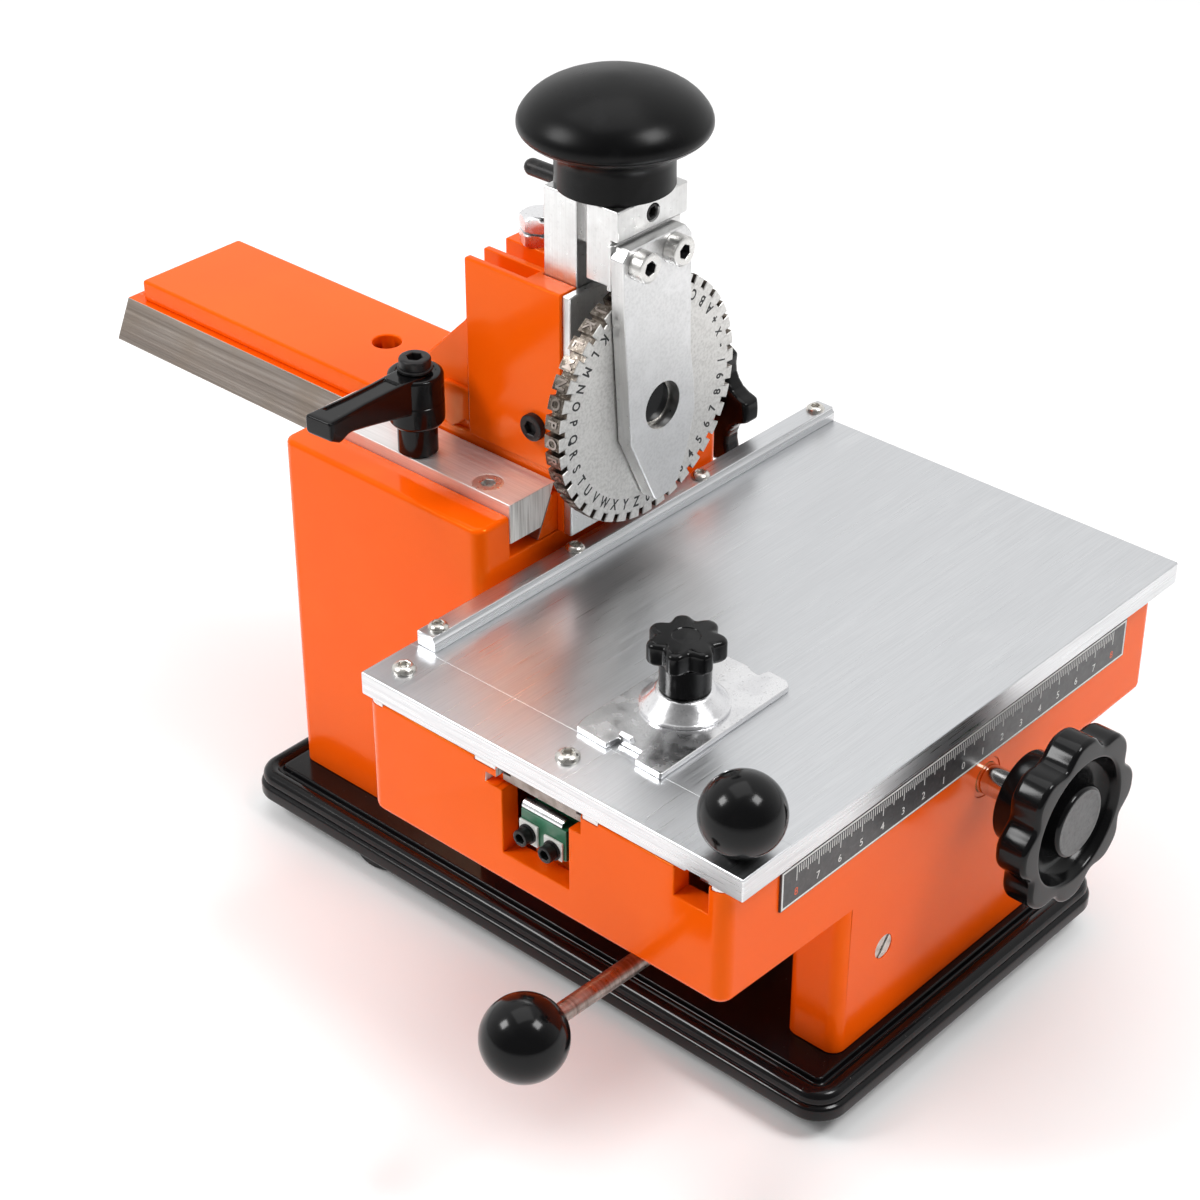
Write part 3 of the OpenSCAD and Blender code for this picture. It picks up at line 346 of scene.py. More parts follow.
def rring(x0, x1, y0, y1, r, z, n=10):
    out = []
    r = max(r, 0.05)
    for cx_, cy_, a0 in ((x1 - r, y1 - r, 0), (x0 + r, y1 - r, 90), (x0 + r, y0 + r, 180), (x1 - r, y0 + r, 270)):
        for i in range(n + 1):
            a = rad(a0 + 90 * i / n)
            out.append((cx_ + r * cos(a), cy_ + r * sin(a), z))
    return out


def hexr(s):
    return lambda t: (s / 2) / cos((t % (PI / 3)) - PI / 6)


X, Y, Z = Vector((1, 0, 0)), Vector((0, 1, 0)), Vector((0, 0, 1))
FRONT = (X, Z, -Y)     # axis points to the front
LEFT = (-Y, Z, -X)     # axis points to the left
RIGHT = (Y, Z, X)
UP = (X, Y, Z)


def hexhole(h, r, s, depth):
    """Rows of a hexagon socket sunk from height h, inside a flat of radius r."""
    f = hexr(s)
    return [(h, r), (h, 0.22, 0, f), (h - 0.2, 0, 0, f), (h - depth, 0, 0, f), (h - depth, -0.12, 0, f),
            (h - depth - 0.35, 0.02 * s), (h - depth - 0.4, 0)]


def button(c, ax, d, h, s, depth, shank, length, turn=0.0):
    U, V, H = ax
    U2 = U * cos(turn) + V * sin(turn)
    V2 = V * cos(turn) - U * sin(turn)
    r = d / 2
    rows = [(-length, shank / 2 - 0.4), (-length + 0.4, shank / 2), (-0.02, shank / 2), (-0.02, r * 0.95), (0.12, r * 0.99),
            (h * 0.2, r), (h * 0.36, r * 0.985), (h * 0.55, r * 0.93), (h * 0.72, r * 0.85), (h * 0.86, r * 0.76),
            (h * 0.96, r * 0.67)]
    rows += hexhole(h, r * 0.6, s, depth)
    return polar(rows, c, U2, V2, H, 48)


def cap_screw(c, ax, d, h, s, depth, shank, length, groove=None, turn=0.0, chamfer=0.45):
    U, V, H = ax
    U2 = U * cos(turn) + V * sin(turn)
    V2 = V * cos(turn) - U * sin(turn)
    r = d / 2
    rows = [(-length, shank / 2 - 0.4), (-length + 0.4, shank / 2), (0, shank / 2), (0, r - 0.25), (0.2, r)]
    if groove:
        rows += [(groove - 0.25, r), (groove - 0.15, r - 0.3), (groove + 0.15, r - 0.3), (groove + 0.25, r)]
    rows += [(h - chamfer, r), (h - chamfer * 0.35, r - chamfer * 0.3), (h, r - chamfer)]
    rows += hexhole(h, r - chamfer - 0.5, s, depth)
    return polar(rows, c, U2, V2, H, 48)


def soften(node, width=0.4, weight=None, seg=3, angle=28, concave=False, mats=None, face_mat=None, smooth=35, name=None, keep=None):
    """A copy of a CAD node with its sharp edges broken. weight(mid, direction, length) gives an edge's share of width."""
    me = NODES[node].data.copy()
    me.materials.clear()
    bm = bmesh.new()
    bm.from_mesh(me)
    bmesh.ops.remove_doubles(bm, verts=bm.verts, dist=2e-6)
    # faces are merged to flats, but around the places that keep() names they stay as they are
    kept = {v for v in bm.verts if keep(CAL(v.co))} if keep else set()
    bmesh.ops.dissolve_limit(bm, angle_limit=rad(0.8), use_dissolve_boundaries=False, verts=[v for v in bm.verts if v not in kept],
                             edges=[e for e in bm.edges if not (e.verts[0] in kept or e.verts[1] in kept)])
    lay = bm.edges.layers.float.get("bevel_weight_edge") or bm.edges.layers.float.new("bevel_weight_edge")
    for e in bm.edges:
        w = 0.0
        if len(e.link_faces) == 2 and e.calc_face_angle(0) > rad(angle) and (concave or e.is_convex):
            a, b = (Vector(CAL(v.co)) for v in e.verts)
            w = weight((a + b) / 2, (b - a).normalized(), (b - a).length) if weight else 1.0
        e[lay] = w
    bm.to_mesh(me)
    bm.free()
    tmp = bpy.data.objects.new("tmp", me)
    scene.collection.objects.link(tmp)
    bv = tmp.modifiers.new("bevel", "BEVEL")
    bv.limit_method = "WEIGHT"
    bv.width = width / 1000
    bv.offset_type = "OFFSET"
    bv.segments = seg
    bv.profile = 0.5
    bv.use_clamp_overlap = False
    bv.loop_slide = False
    bpy.context.view_layer.update()
    dg = bpy.context.evaluated_depsgraph_get()
    out = bpy.data.meshes.new_from_object(tmp.evaluated_get(dg))
    bpy.data.objects.remove(tmp)
    att = out.attributes.get("bevel_weight_edge")
    if att:
        out.attributes.remove(att)
    lo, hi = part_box(node)
    grow = 0.0
    for v in out.vertices:
        for i in range(3):
            grow = max(grow, lo[i] - v.co[i], v.co[i] - hi[i])
    if grow > 3e-5:
        print("soften", node, "grows", round(grow * 1000, 3), "mm")
    return put(name or "vis_" + node, out, BODY[node], mats or [M[SLOT[node]]], [node], smooth, face_mat)


def no_holes(big):
    """Weight that skips the short edges of small holes."""
    return lambda m, d, l: 1.0 if l > big else 0.0


def near(v, t, tol=0.15):
    return abs(v - t) < tol


# ------------------------------------------------------------------ base plate and feet
bx0, bx1, by0, by1 = 36.2, 185.2, -5.0, 250.0
prof = [(9.4, -104.7), (9.0, -104.71), (8.7, -104.82), (8.45, -105.25), (8.25, -106.2), (7.8, -106.7), (7.1, -106.75),
        (6.7, -106.35), (6.2, -105.6), (5.4, -105.05), (4.4, -104.78), (3.4, -104.8), (2.4, -105.15), (1.6, -105.85),
        (1.1, -106.75), (0.9, -107.75), (1.0, -108.65), (1.35, -109.2), (1.3, -109.5), (0.75, -109.8), (0.2, -110.2),
        (0, -110.8), (0, -113.9), (0.25, -114.5), (0.8, -114.7)]
make("vis_base_plate", [loft([rring(bx0 + i, bx1 - i, by0 + i, by1 - i, 10.5 - i, z, 12) for i, z in prof])],
     [M["black_enamel"]], "base_plate", angle=50)
feet = []
for fx, fy in ((57, 14), (160, 14), (54, 195), (166, 195)):
    feet.append(polar([(0.6, 0), (0.6, 5.2), (0.25, 5.6), (0, 6.2), (0, 10.6), (0.25, 11.8), (0.9, 12.8), (2.2, 13.4), (5.4, 13.9),
                       (6.0, 13.75), (6.2, 13.75), (6.5, 14), (7.7, 14), (8.2, 13.6), (8.3, 13.1)],
                      (fx, fy, -123), *UP, seg=72))
make("vis_rubber_feet", feet, [M["foot_rubber"]], "rubber_feet")
soften("casting_bolts", 0.3, no_holes(0.35), 2)


# ------------------------------------------------------------------ castings
def w_column(m, d, l):
    if m.z < -104.2:
        return 0.25
    if near(m.z, 23.4):
        if abs(d.z) < 0.2 and (m.x < 58.5 or m.x > 163 or m.y < 154.5 or m.y > 234.8):
            return 1.0
        return 0.35
    if 8 < m.z < 23 and abs(d.z) > 0.7:
        return 0.45
    if m.z < -4:
        return 0.0
    return 0.3 if l > 1.5 else 0.0


soften("column_casting", 1.8, w_column, 4)


def w_bed(m, d, l):
    outer = m.x < 5.8 or m.x > 210 or m.y < 11.5 or m.y > 141.5
    if near(m.z, -49.5) and outer:
        return 1.0
    if near(m.z, -8.4) and outer:
        return 0.25
    if m.z > -12:
        return 0.0
    if abs(d.z) > 0.7 and m.z < -50 and l > 10:
        return 0.5
    if m.x < 8.5 and l > 2:
        return 0.18
    if near(m.z, -104.7):
        return 0.2
    if l > 4 and m.z > -50:
        return 0.18
    return 0.0


soften("bed_casting", 2.6, w_bed, 4, mats=[M["orange_paint"], M["milled_end"]],
       face_mat=lambda c, n: 1 if c[0] < 4.1 and 90 < c[1] < 97 and c[2] > -14.9 and n.y < -0.8 else 0)


def w_head(m, d, l):
    if m.z > 92.5:
        return 1.0 if (m.y > 186 or m.x < 87.6 or m.x > 133.8) else 0.5
    if near(m.z, 31, 0.3) and (near(m.x, 88, 0.3) or near(m.x, 133.4, 0.3)):
        return 1.2
    if near(m.y, 350, 0.3):
        return 1.2
    if arm_hole(m):
        return 0.7 if near(m.z, 31) else 0.0
    if l < 0.8:
        return 0.0
    if m.y < 146.9:
        return 0.4
    if m.y > 186.5:
        return 0.8
    return 0.5


def arm_hole(p):
    return math.hypot(p[0] - 113.4, p[1] - 251.8) < 6


soften("head_casting", 0.9, w_head, 3, keep=arm_hole)


# ------------------------------------------------------------------ guide bars, slide bar
def end_face(c, n):
    return 1 if n.y < -0.8 and c[1] < 150.4 else 0


soften("gib_bar", 0.35, no_holes(1.2), 2, mats=[M["guide_aluminium"], M["milled_end"]], face_mat=end_face)
soften("guide_bar_right", 0.35, no_holes(1.2), 2, mats=[M["guide_aluminium"], M["milled_end"]], face_mat=end_face)
soften("slide_bar", 0.5, no_holes(1.2), 2, keep=arm_hole, mats=[M["bare_slide"], M["orange_bare"]],
       face_mat=lambda c, n: 1 if (n.y < -0.8 and c[1] < 151) or n.z > 0.8 else 0)


def csk_screw(x, y):
    z = 27.1
    rows = [(-25, 2.1), (-24.5, 2.5), (-2.7, 2.5), (-0.35, 4.82), (-0.06, 5.08), (0.0, 4.88)]
    rows += hexhole(0.0, 3.9, 4.2, 1.9)
    return polar(rows, (x, y, z), *UP, seg=48)


make("vis_gib_screws", [csk_screw(72.9, 164.9), csk_screw(72.2, 223.4), csk_screw(148.5, 160), csk_screw(149.2, 223.4)],
     [M["satin_screw"]], "gib_screws")

# ------------------------------------------------------------------ bed fittings
soften("ruler_strip", 0.12, None, 2)
soften("slide_liners", 0.25, None, 2, mats=[M["guide_aluminium"]])
soften("guide_blocks", 0.3, no_holes(0.4), 2)
soften("front_bush", 0.3, None, 2, mats=[M["bush_brass"], M["orange_paint"]], face_mat=lambda c, n: 1 if n.y < -0.5 else 0)
soften("anvil_block", 0.5, None, 2)
soften("lever_pivot_pin", 0.3, None, 2)
soften("support_bracket", 0.3, no_holes(0.5), 2)
soften("bracket_pads", 0.2, no_holes(0.5), 2)
soften("slotted_plug", 0.25, no_holes(0.2), 2, mats=[M["screw_steel"]])
make("vis_bracket_screws", [polar([(-16.2, 1.6), (-15.8, 2), (0, 2), (0, 3.05), (0.12, 3.2), (0.58, 3.2), (0.7, 3.05), (0.7, 2.6),
                                   (0.85, 2.7), (3.3, 2.7), (3.6, 2.55), (3.7, 2.35)] + hexhole(3.7, 2.0, 3.0, 2.0),
                                  (1.6, y, z), *LEFT, seg=48) for y, z in ((71.6, -28), (81.3, -27))],
     [M["black_steel"]], "bracket_screws")
soften("support_bar", 0.25, no_holes(3), 2, mats=[M["bright_zinc"]])


# ------------------------------------------------------------------ lever, ball and rod
RA = math.atan2(4.7, 104.5)
HR, UR = Vector((cos(RA), 0, -sin(RA))), Vector((0, 1, 0))
VR = HR.cross(UR)


def ball_rows(r, cut, hole, seam=None, n=34):
    """A ball turned about its axis, with a flat collar of radius cut where the rod enters (at +h)."""
    end = math.asin(cut / r)
    rows = [(-r, 0)]
    for i in range(1, n):
        t = PI - (PI - end) * i / (n - 1)
        rows.append((r * cos(t), r * sin(t)))
        if seam is not None and rows[-2][0] < seam <= rows[-1][0] and len(rows) > 3:
            h, q = rows[-1]
            rows[-1:] = [(seam - 0.12, math.sqrt(r * r - (seam - 0.12) ** 2)), (seam, math.sqrt(r * r - seam * seam) - 0.06),
                         (seam + 0.12, math.sqrt(r * r - (seam + 0.12) ** 2)), (h + 0.2, math.sqrt(max(0, r * r - (h + 0.2) ** 2)))]
    h = rows[-1][0]
    rows += [(h + 0.15, cut - 0.1), (h + 0.25, cut - 0.35), (h + 0.25, hole), (h - 1.5, hole)]
    return rows


make("vis_lever_ball", [polar(ball_rows(13, 4.6, 3.03), (-40.5, 43.5, -55), UR, VR, HR, seg=96)],
     [M["black_phenolic"]], "lever_ball")
rod = [(2, 2.6), (2.4, 3)]
for i in range(40):
    h = 11 + i * 2.15
    rod += [(h, 3.0), (h + 1.0, 2.985)]
rod += [(98.9, 3.0), (99.5, 2.5)]
make("vis_lever_rod", [polar(rod, (-40.5, 43.5, -55), UR, VR, HR, seg=48)], [M["rod_steel"]], "lever_rod")
soften("brake_arm", 0.4, no_holes(0.6), 2)


# ------------------------------------------------------------------ table
def w_table(m, d, l):
    if l < 1.5:
        return 0.0
    return 0.1 if abs(m.x - 20.85) < 0.4 else 1.0


def edge_face(c, n):
    return 1 if abs(n.z) < 0.3 else 0


soften("table_plate", 0.55, w_table, 2, mats=[M["table_steel"], M["table_edge"]], face_mat=edge_face)
soften("end_strip", 0.45, w_table, 2, mats=[M["table_steel"], M["table_edge"]], face_mat=edge_face)
soften("work_rail", 0.3, w_table, 2, mats=[M["table_edge"], M["table_steel"]], face_mat=lambda c, n: 1 if n.z > 0.7 else 0)
soften("front_rail", 0.3, None, 2)
soften("rear_rail", 0.3, None, 2)
scr = []
for i, x in enumerate((27.3, 88.53, 149.77, 211)):
    scr.append(button((x, 142.3, 5), UP, 6.5, 1.9, 2.9, 1.3, 3.6, 12.5, 0.3 + i))
for i, y in enumerate((139.3, 72.8)):
    scr.append(button((9.6, y, 0), UP, 7.5, 2.1, 3.3, 1.5, 4, 7.5, 0.5 + 0.7 * i))
make("vis_table_screws", scr, [M["screw_steel"]], "table_screws")
make("vis_table_ball", [polar([(h, r) for h, r in ball_rows(12.5, 5.2, 2.98)] + [(19.5, 2.98)],
                              (9.8, 8.7, 12.5), X, -Y, -Z, seg=96)],
     [M["black_phenolic"]], "table_ball")


# ------------------------------------------------------------------ table clamp
soften("clamp_plate", 0.3, no_holes(0.75), 2)
make("vis_cone_washer", [polar([(0.05, 3.35), (0.05, 13.3), (0.25, 13.6), (1.1, 13.6), (1.35, 13.4), (1.6, 12.9), (5.3, 9.55),
                                (5.75, 9.15), (6.15, 8.8), (6.35, 8.3), (6.4, 7.6), (6.4, 3.6), (6.1, 3.3)],
                               (50, 63.5, 2), *UP, seg=72, close=True)], [M["bright_zinc"]], "cone_washer", angle=30)


def clamp_R(t):
    return 12.0 - 2.6 * ((1 - cos(7 * t + 0.5)) / 2) ** 1.3


make("vis_clamp_star_knob", [polar([(8.45, 3.05), (8.45, 7.0), (8.8, 7.7), (9.3, 7.8), (18.2, 7.85), (18.7, 8.2), (18.9, 8.7),
                                    (18.9, -1.4, 1), (19.1, -0.8, 1), (19.6, -0.25, 1), (20.2, 0, 1), (24.5, 0, 1), (25.2, -0.25, 1),
                                    (25.7, -0.7, 1), (26.0, -1.4, 1), (26.1, -2.2, 1), (26.12, 4.2, 0.25), (26.15, 4.4), (25.9, 4.1),
                                    (25.85, 2.0), (26.0, 0)],
                                   (50, 63.5, 0), *UP, seg=210, R=clamp_R)], [M["black_phenolic"]], "clamp_star_knob")


# ------------------------------------------------------------------ handwheel
def wheel_R(t):
    return 29.3 - 3.7 * ((1 - cos(8 * t)) / 2) ** 1.6


wheel_rows = [(6.5, 5.05), (6.5, 14.2), (6.65, 14.65), (7.0, 14.9), (12, 15), (16.5, 15), (16.9, 15.3), (17, 15.9), (17, -2, 1), (17.15, -1.3, 1),
              (17.6, -0.75, 1), (18.4, -0.2, 1), (19.2, 0, 1), (26.3, 0, 1), (26.9, -0.12, 1), (27.4, -0.4, 1), (27.8, -0.85, 1),
              (28, -1.5, 1), (28, 22.1), (27.9, 21.6), (27.6, 21.2), (27.0, 20.9), (25, 20.3), (23.2, 19.6), (22.1, 18.6), (21.4, 17.2),
              (21.2, 15.6), (21.35, 14.3), (21.9, 13.4), (22.8, 12.9), (24, 12.5), (26.6, 11.9), (27.4, 11.7), (27.8, 11.35), (28, 10.8),
              (28, 9.6), (27.86, 9.3), (27.86, 0.0)]
wheel = polar(wheel_rows, (125.5, 0, -37.5), *FRONT, seg=288, R=wheel_R)
make("vis_handwheel", [wheel], [M["black_phenolic"], M["boss_grey"]], "handwheel",
     face_mat=lambda c, n: 1 if (c[1] < -27.7 and n.y < -0.9 and math.hypot(c[0] - 125.5, c[2] + 37.5) < 10.5) else 0)
shaft = [(-100.5, 3.6), (-100, 4), (-85, 4), (-84.9, 5), (-7, 5), (24.6, 5), (24.9, 4.7)]
make("vis_wheel_shaft", [polar(shaft, (125.5, 0, -37.5), *FRONT, seg=72)], [M["bright_shaft"]], "wheel_shaft")

# ------------------------------------------------------------------ head front
soften("cover_plate", 0.5, no_holes(0.5), 2)
soften("ram_block", 0.55, no_holes(0.9), 2)
soften("spacer_plate", 0.2, no_holes(0.6), 2)
soften("fork_plate", 0.45, no_holes(0.9), 2, mats=[M["plate_steel"], M["satin_head"]], face_mat=lambda c, n: 0 if abs(n.y) > 0.6 else 1)
knob = [(122.3, 18.0), (122.5, 18.35), (122.9, 18.5), (127, 18.42), (131, 18.45), (132.6, 18.7), (133.8, 19.25), (134.9, 20.2), (135.7, 21.4),
        (136.5, 23.2), (137.3, 25.2), (138.1, 26.7), (139.0, 27.9), (139.75, 28.6), (140.05, 28.85), (140.15, 28.75), (140.3, 28.9),
        (140.7, 29.2), (141.4, 29.45), (142.3, 29.5), (143.3, 29.4), (144.4, 29.05), (145.6, 28.4), (147.0, 27.4), (148.5, 26.1),
        (149.9, 24.5), (151.2, 22.6), (152.4, 20.4), (153.5, 17.9), (154.5, 15.2), (155.3, 12.4), (155.95, 9.4), (156.45, 6.4),
        (156.8, 3.4), (157, 0)]
make("vis_palm_knob", [polar(knob, (110.7, 145.7, 0), *UP, seg=120)], [M["black_knob"]], "palm_knob")
# the hex socket faces of the fork screws get the black material: painted shade inside the sockets, the screws
# themselves are satin steel
make("vis_fork_screws", [cap_screw((x, 126.1, 105.6), FRONT, 9.6, 4.8, 4.3, 3.2, 6, 12, turn=tu, chamfer=0.55) for x, tu in ((99.4, 0.2), (115, 0.6))],
     [M["satin_screw"], M["print_and_socket_shade_black"]], "fork_screws",
     face_mat=lambda c, n: 1 if c[1] > 121.5 and min(math.hypot(c[0] - 99.4, c[2] - 105.6), math.hypot(c[0] - 115, c[2] - 105.6)) < 2.6
     and c[1] < 125 else 0)
make("vis_set_screw", [polar([(-7, 2.2), (-6.6, 2.75), (2.4, 2.75), (2.8, 2.4)] + hexhole(2.8, 2.2, 3.0, 2.0), (110.7, 133.4, 117.2), *FRONT, seg=48)],
     [M["black_steel"]], "set_screw")
make("vis_stop_pin", [polar([(-0.2, 2.5), (0.2, 2.8), (14, 2.8), (14.2, 2.65), (14.6, 2.65), (14.8, 2.8), (27.6, 2.8), (28.3, 2.6),
                             (29.2, 2.1), (29.7, 1.5), (29.8, 0)], (110.7, 152.2, 117.2), X, -Z, Y, seg=48)], [M["black_steel"]], "stop_pin")
hx = hexr(11.4)
nut_round = lambda k: (lambda t: min(hexr(11.4)(t), k))
make("vis_stop_nut", [polar([(0, 0, 0, nut_round(5.9)), (0.35, 0, 0, nut_round(6.5)), (0.6, 0, 0, hx), (3.6, 0, 0, hx), (3.85, 0, 0, nut_round(6.5)),
                             (4.2, 0, 0, nut_round(5.9)), (4.2, 3.3), (3.9, 3.05), (0.3, 3.05), (0, 3.3)], (110.7, 177, 93), *UP, seg=72, close=True)],
     [M["bright_zinc"]], "stop_nut")
make("vis_stop_bolt", [polar([(77, 2.6), (77.5, 3), (97.9, 3), (98, 5.0), (98, 0, 0, nut_round(5.9)), (98.3, 0, 0, nut_round(6.5)), (98.6, 0, 0, hx),
                              (101.7, 0, 0, hx), (102.1, 0, 0, nut_round(6.4)), (102.5, 0, 0, nut_round(5.9)), (102.8, 5.4), (103.05, 5.0),
                              (103.2, 4.4), (103.3, 3.5), (103.3, 0)], (110.7, 177, 0), *UP, seg=72)], [M["bright_zinc"]], "stop_bolt")
make("vis_wall_screw", [cap_screw((87, 157.5, 44.4), LEFT, 9, 2.4, 4.4, 1.8, 5, 8.5)], [M["black_steel"]], "wall_screw")
make("vis_axle_ring", [polar([(0, 7.25), (0, 7.8), (0.2, 7.9), (0.85, 7.9), (1.0, 7.75), (1.0, 7.35), (0.9, 7.25)],
                             (111.2, 131.5, 53.5), *FRONT, seg=96, close=True)], [M["screw_steel"]], "axle_ring")
make("vis_dial_axle", [polar([(0, 9.1), (0.3, 9.5), (1.9, 9.5), (2.05, 9.3), (2.05, 7.18), (9.7, 7.18), (9.9, 6.98), (9.9, 6.65), (10.0, 6.6),
                              (10.75, 6.6), (10.93, 6.52), (11.0, 6.35), (11.0, 2), (10.98, 0)], (111.2, 140.4, 53.5), *FRONT, seg=96)],
     [M["black_phenolic"]], "dial_axle")


# ------------------------------------------------------------------ type dial
DX, DZ, DY0, DY1 = 111.2, 53.5, 131.8, 138.1
NT = 40
STEP = 2 * PI / NT


def outline(inset, y):
    ring = []
    hwid = 0.95 + inset
    rb, ro = 38.2 - inset, 40.8 - inset
    ab, ao = math.asin(hwid / rb), math.asin(hwid / ro)
    for k in range(NT):
        s = rad(4.5) + k * STEP
        seq = [(rb, s - ab), (rb - 0.02, s), (rb, s + ab)]
        for q in range(6):
            seq.append((ro, s + ao + (STEP - 2 * ao) * q / 5))
        for r, a in seq:
            ring.append((DX + r * cos(a), y, DZ + r * sin(a)))
    return ring


def circle_like(r, y):
    ring = []
    for x, _, z in outline(0.0, 0.0):
        a = math.atan2(z - DZ, x - DX)
        ring.append((DX + r * cos(a), y, DZ + r * sin(a)))
    return ring


rings = [circle_like(7.26, DY0 + 0.35), circle_like(7.6, DY0), circle_like(20, DY0), circle_like(37.2, DY0), outline(0.22, DY0), outline(0, DY0 + 0.22),
         outline(0, DY0 + 3.1), outline(0, DY1 - 0.22), outline(0.22, DY1), circle_like(37.2, DY1), circle_like(20, DY1), circle_like(7.6, DY1),
         circle_like(7.26, DY1 - 0.35)]


def tooth_face(c, n):
    r = math.hypot(c[0] - DX, c[2] - DZ)
    return 1 if r > 38.0 and abs(n.y) < 0.5 else 0


make("vis_type_dial", [loft(rings, close=True)], [M["dial_steel"], M["tooth_bronze"]], "type_dial", angle=30, face_mat=tooth_face)


# ------------------------------------------------------------------ lettering (generic characters only)
GLYPH = {}


def glyph(ch, size, squeeze=1.0, bold=0.0):
    """Filled flat mesh of one character, centred on 0, 0: (verts 2-D, faces)."""
    key = (ch, size, squeeze, bold)
    if key not in GLYPH:
        cu = bpy.data.curves.new("g", "FONT")
        cu.body = ch
        cu.size = size
        cu.offset = bold
        cu.resolution_u = 3
        ob = bpy.data.objects.new("g", cu)
        scene.collection.objects.link(ob)
        dg = bpy.context.evaluated_depsgraph_get()
        me = bpy.data.meshes.new_from_object(ob.evaluated_get(dg))
        bm = bmesh.new()
        bm.from_mesh(me)
        bmesh.ops.remove_doubles(bm, verts=bm.verts, dist=1e-5)
        bmesh.ops.dissolve_limit(bm, angle_limit=rad(1), use_dissolve_boundaries=False, verts=bm.verts, edges=bm.edges)
        bmesh.ops.triangulate(bm, faces=bm.faces)
        bm.to_mesh(me)
        bm.free()
        vs = [(q.co.x * squeeze, q.co.y) for q in me.vertices]
        fs = [list(p.vertices) for p in me.polygons]
        x0, x1 = min(q[0] for q in vs), max(q[0] for q in vs)
        y0, y1 = min(q[1] for q in vs), max(q[1] for q in vs)
        vs = [(q[0] - (x0 + x1) / 2, q[1] - (y0 + y1) / 2) for q in vs]
        edges = {}
        for f in fs:
            for a, b in zip(f, f[1:] + f[:1]):
                edges[(a, b)] = edges.get((a, b), 0) + 1
        rim = [e for e in edges if (e[1], e[0]) not in edges]
        GLYPH[key] = (vs, fs, rim)
        bpy.data.objects.remove(ob)
        bpy.data.curves.remove(cu)
        bpy.data.meshes.remove(me)
    return GLYPH[key]


def letter(ch, size, place, squeeze=1.0, low=-0.05, high=0.02, mi=0, bold=0.0):
    """A closed thin solid of the character. place(u, v, h) gives the point in working mm."""
    vs, fs, rim = glyph(ch, size, squeeze, bold)
    n = len(vs)
    pts = [place(u, v, low) for u, v in vs] + [place(u, v, high) for u, v in vs]
    faces = [list(reversed(f)) for f in fs] + [[i + n for i in f] for f in fs]
    faces += [[a, b, b + n, a + n] for a, b in rim]
    return [Vector(p) for p in pts], faces, mi


CH = "ABCDEFGHIJKLMNOPQRSTUVWXYZ0123456789/-x+"
marks, raised = [], []
for i, ch in enumerate(CH):
    a = rad(126 + 9 * (i - 10))
    ca, sa = cos(a), sin(a)

    def on_face(u, v, h, ca=ca, sa=sa):
        # up of the character points to the centre
        ux, uz = -ca, -sa
        rx, rz = uz, -ux
        px = DX + 34.9 * ca + u * rx + v * ux
        pz = DZ + 34.9 * sa + u * rz + v * uz
        return (px, DY0 - h, pz)

    def on_rim(u, v, h, a=a):
        t = a - u / 40.8
        r = 40.8 + h
        return (DX + r * cos(t), DY0 + 3.15 - v, DZ + r * sin(t))

    marks.append(letter("X" if ch == "x" else ch, 4.9 if ch != "x" else 3.6, on_face, 0.8, -0.05, 0.015, bold=0.15))
    raised.append(letter("X" if ch == "x" else ch, 5.0, on_rim, -0.95, -0.1, 0.3, bold=0.1))
make("dial_marks", marks, [M["print_and_socket_shade_black"]], body="dial", nodes=[], weighted=False)
make("dial_types", raised, [M["dark_steel"]], body="dial", nodes=[], weighted=False)

# ruler: white rim, centimetre numbers that run out from the middle, millimetre ticks hanging from the top
RX0, RX1, RZ0, RZ1, RY = 23.8, 198.2, -28.5, -14.5, 5.2


def bar(x0, x1, z0, z1, mi=0, y=RY, h=0.03):
    p = [(x0, y + 0.05, z0), (x1, y + 0.05, z0), (x1, y + 0.05, z1), (x0, y + 0.05, z1),
         (x0, y - h, z0), (x1, y - h, z0), (x1, y - h, z1), (x0, y - h, z1)]
    return [Vector(q) for q in p], [[3, 2, 1, 0], [4, 5, 6, 7], [0, 1, 5, 4], [1, 2, 6, 5], [2, 3, 7, 6], [3, 0, 4, 7]], mi


ruler = [bar(RX0 + 0.3, RX1 - 0.3, RZ0 + 0.3, RZ0 + 0.95), bar(RX0 + 0.3, RX1 - 0.3, RZ1 - 0.95, RZ1 - 0.3),
         bar(RX0 + 0.3, RX0 + 0.95, RZ0 + 0.95, RZ1 - 0.95), bar(RX1 - 0.95, RX1 - 0.3, RZ0 + 0.95, RZ1 - 0.95)]
for k in range(-80, 81):
    x = 110.7 + k
    ln = 5.0 if k % 10 == 0 else (3.9 if k % 5 == 0 else 2.7)
    ruler.append(bar(x - 0.14, x + 0.14, RZ1 - 1.3 - ln, RZ1 - 1.3))
for i in range(17):
    x = 30.7 + 10 * i
    ruler.append(letter(str(abs(i - 8)), 3.7, lambda u, v, h, x=x: (x + u, RY - h, RZ0 + 3.9 + v), 0.95, -0.05, 0.03, 1 if i in (0, 16) else 0))
make("ruler_print", ruler, [M["ruler_white"], M["ruler_orange"]], body="stand", nodes=[], weighted=False)


# ------------------------------------------------------------------ clamping lever
C4, S4 = cos(rad(4)), sin(rad(4))
DU, DW = Vector((-C4, -S4, 0)), Vector((S4, -C4, 0))
LC = Vector((72.6, 195.5, -2.6))


def lerp(tab, u):
    for (a, p), (b, q) in zip(tab, tab[1:]):
        if u <= b:
            return p + (q - p) * (u - a) / (b - a)
    return tab[-1][1]


LB = [(0, 46.8), (6, 46.6), (34.5, 53.2), (36.5, 53.2), (39.5, 52.1), (40.5, 52.1), (44.6, 54.4)]
LT = [(0, 58.6), (8, 59.2), (44.6, 60.6)]
LH = [(0, 5.4), (8, 4.9), (18, 4.5), (28, 4.6), (37, 5.1), (44.6, 5.3)]


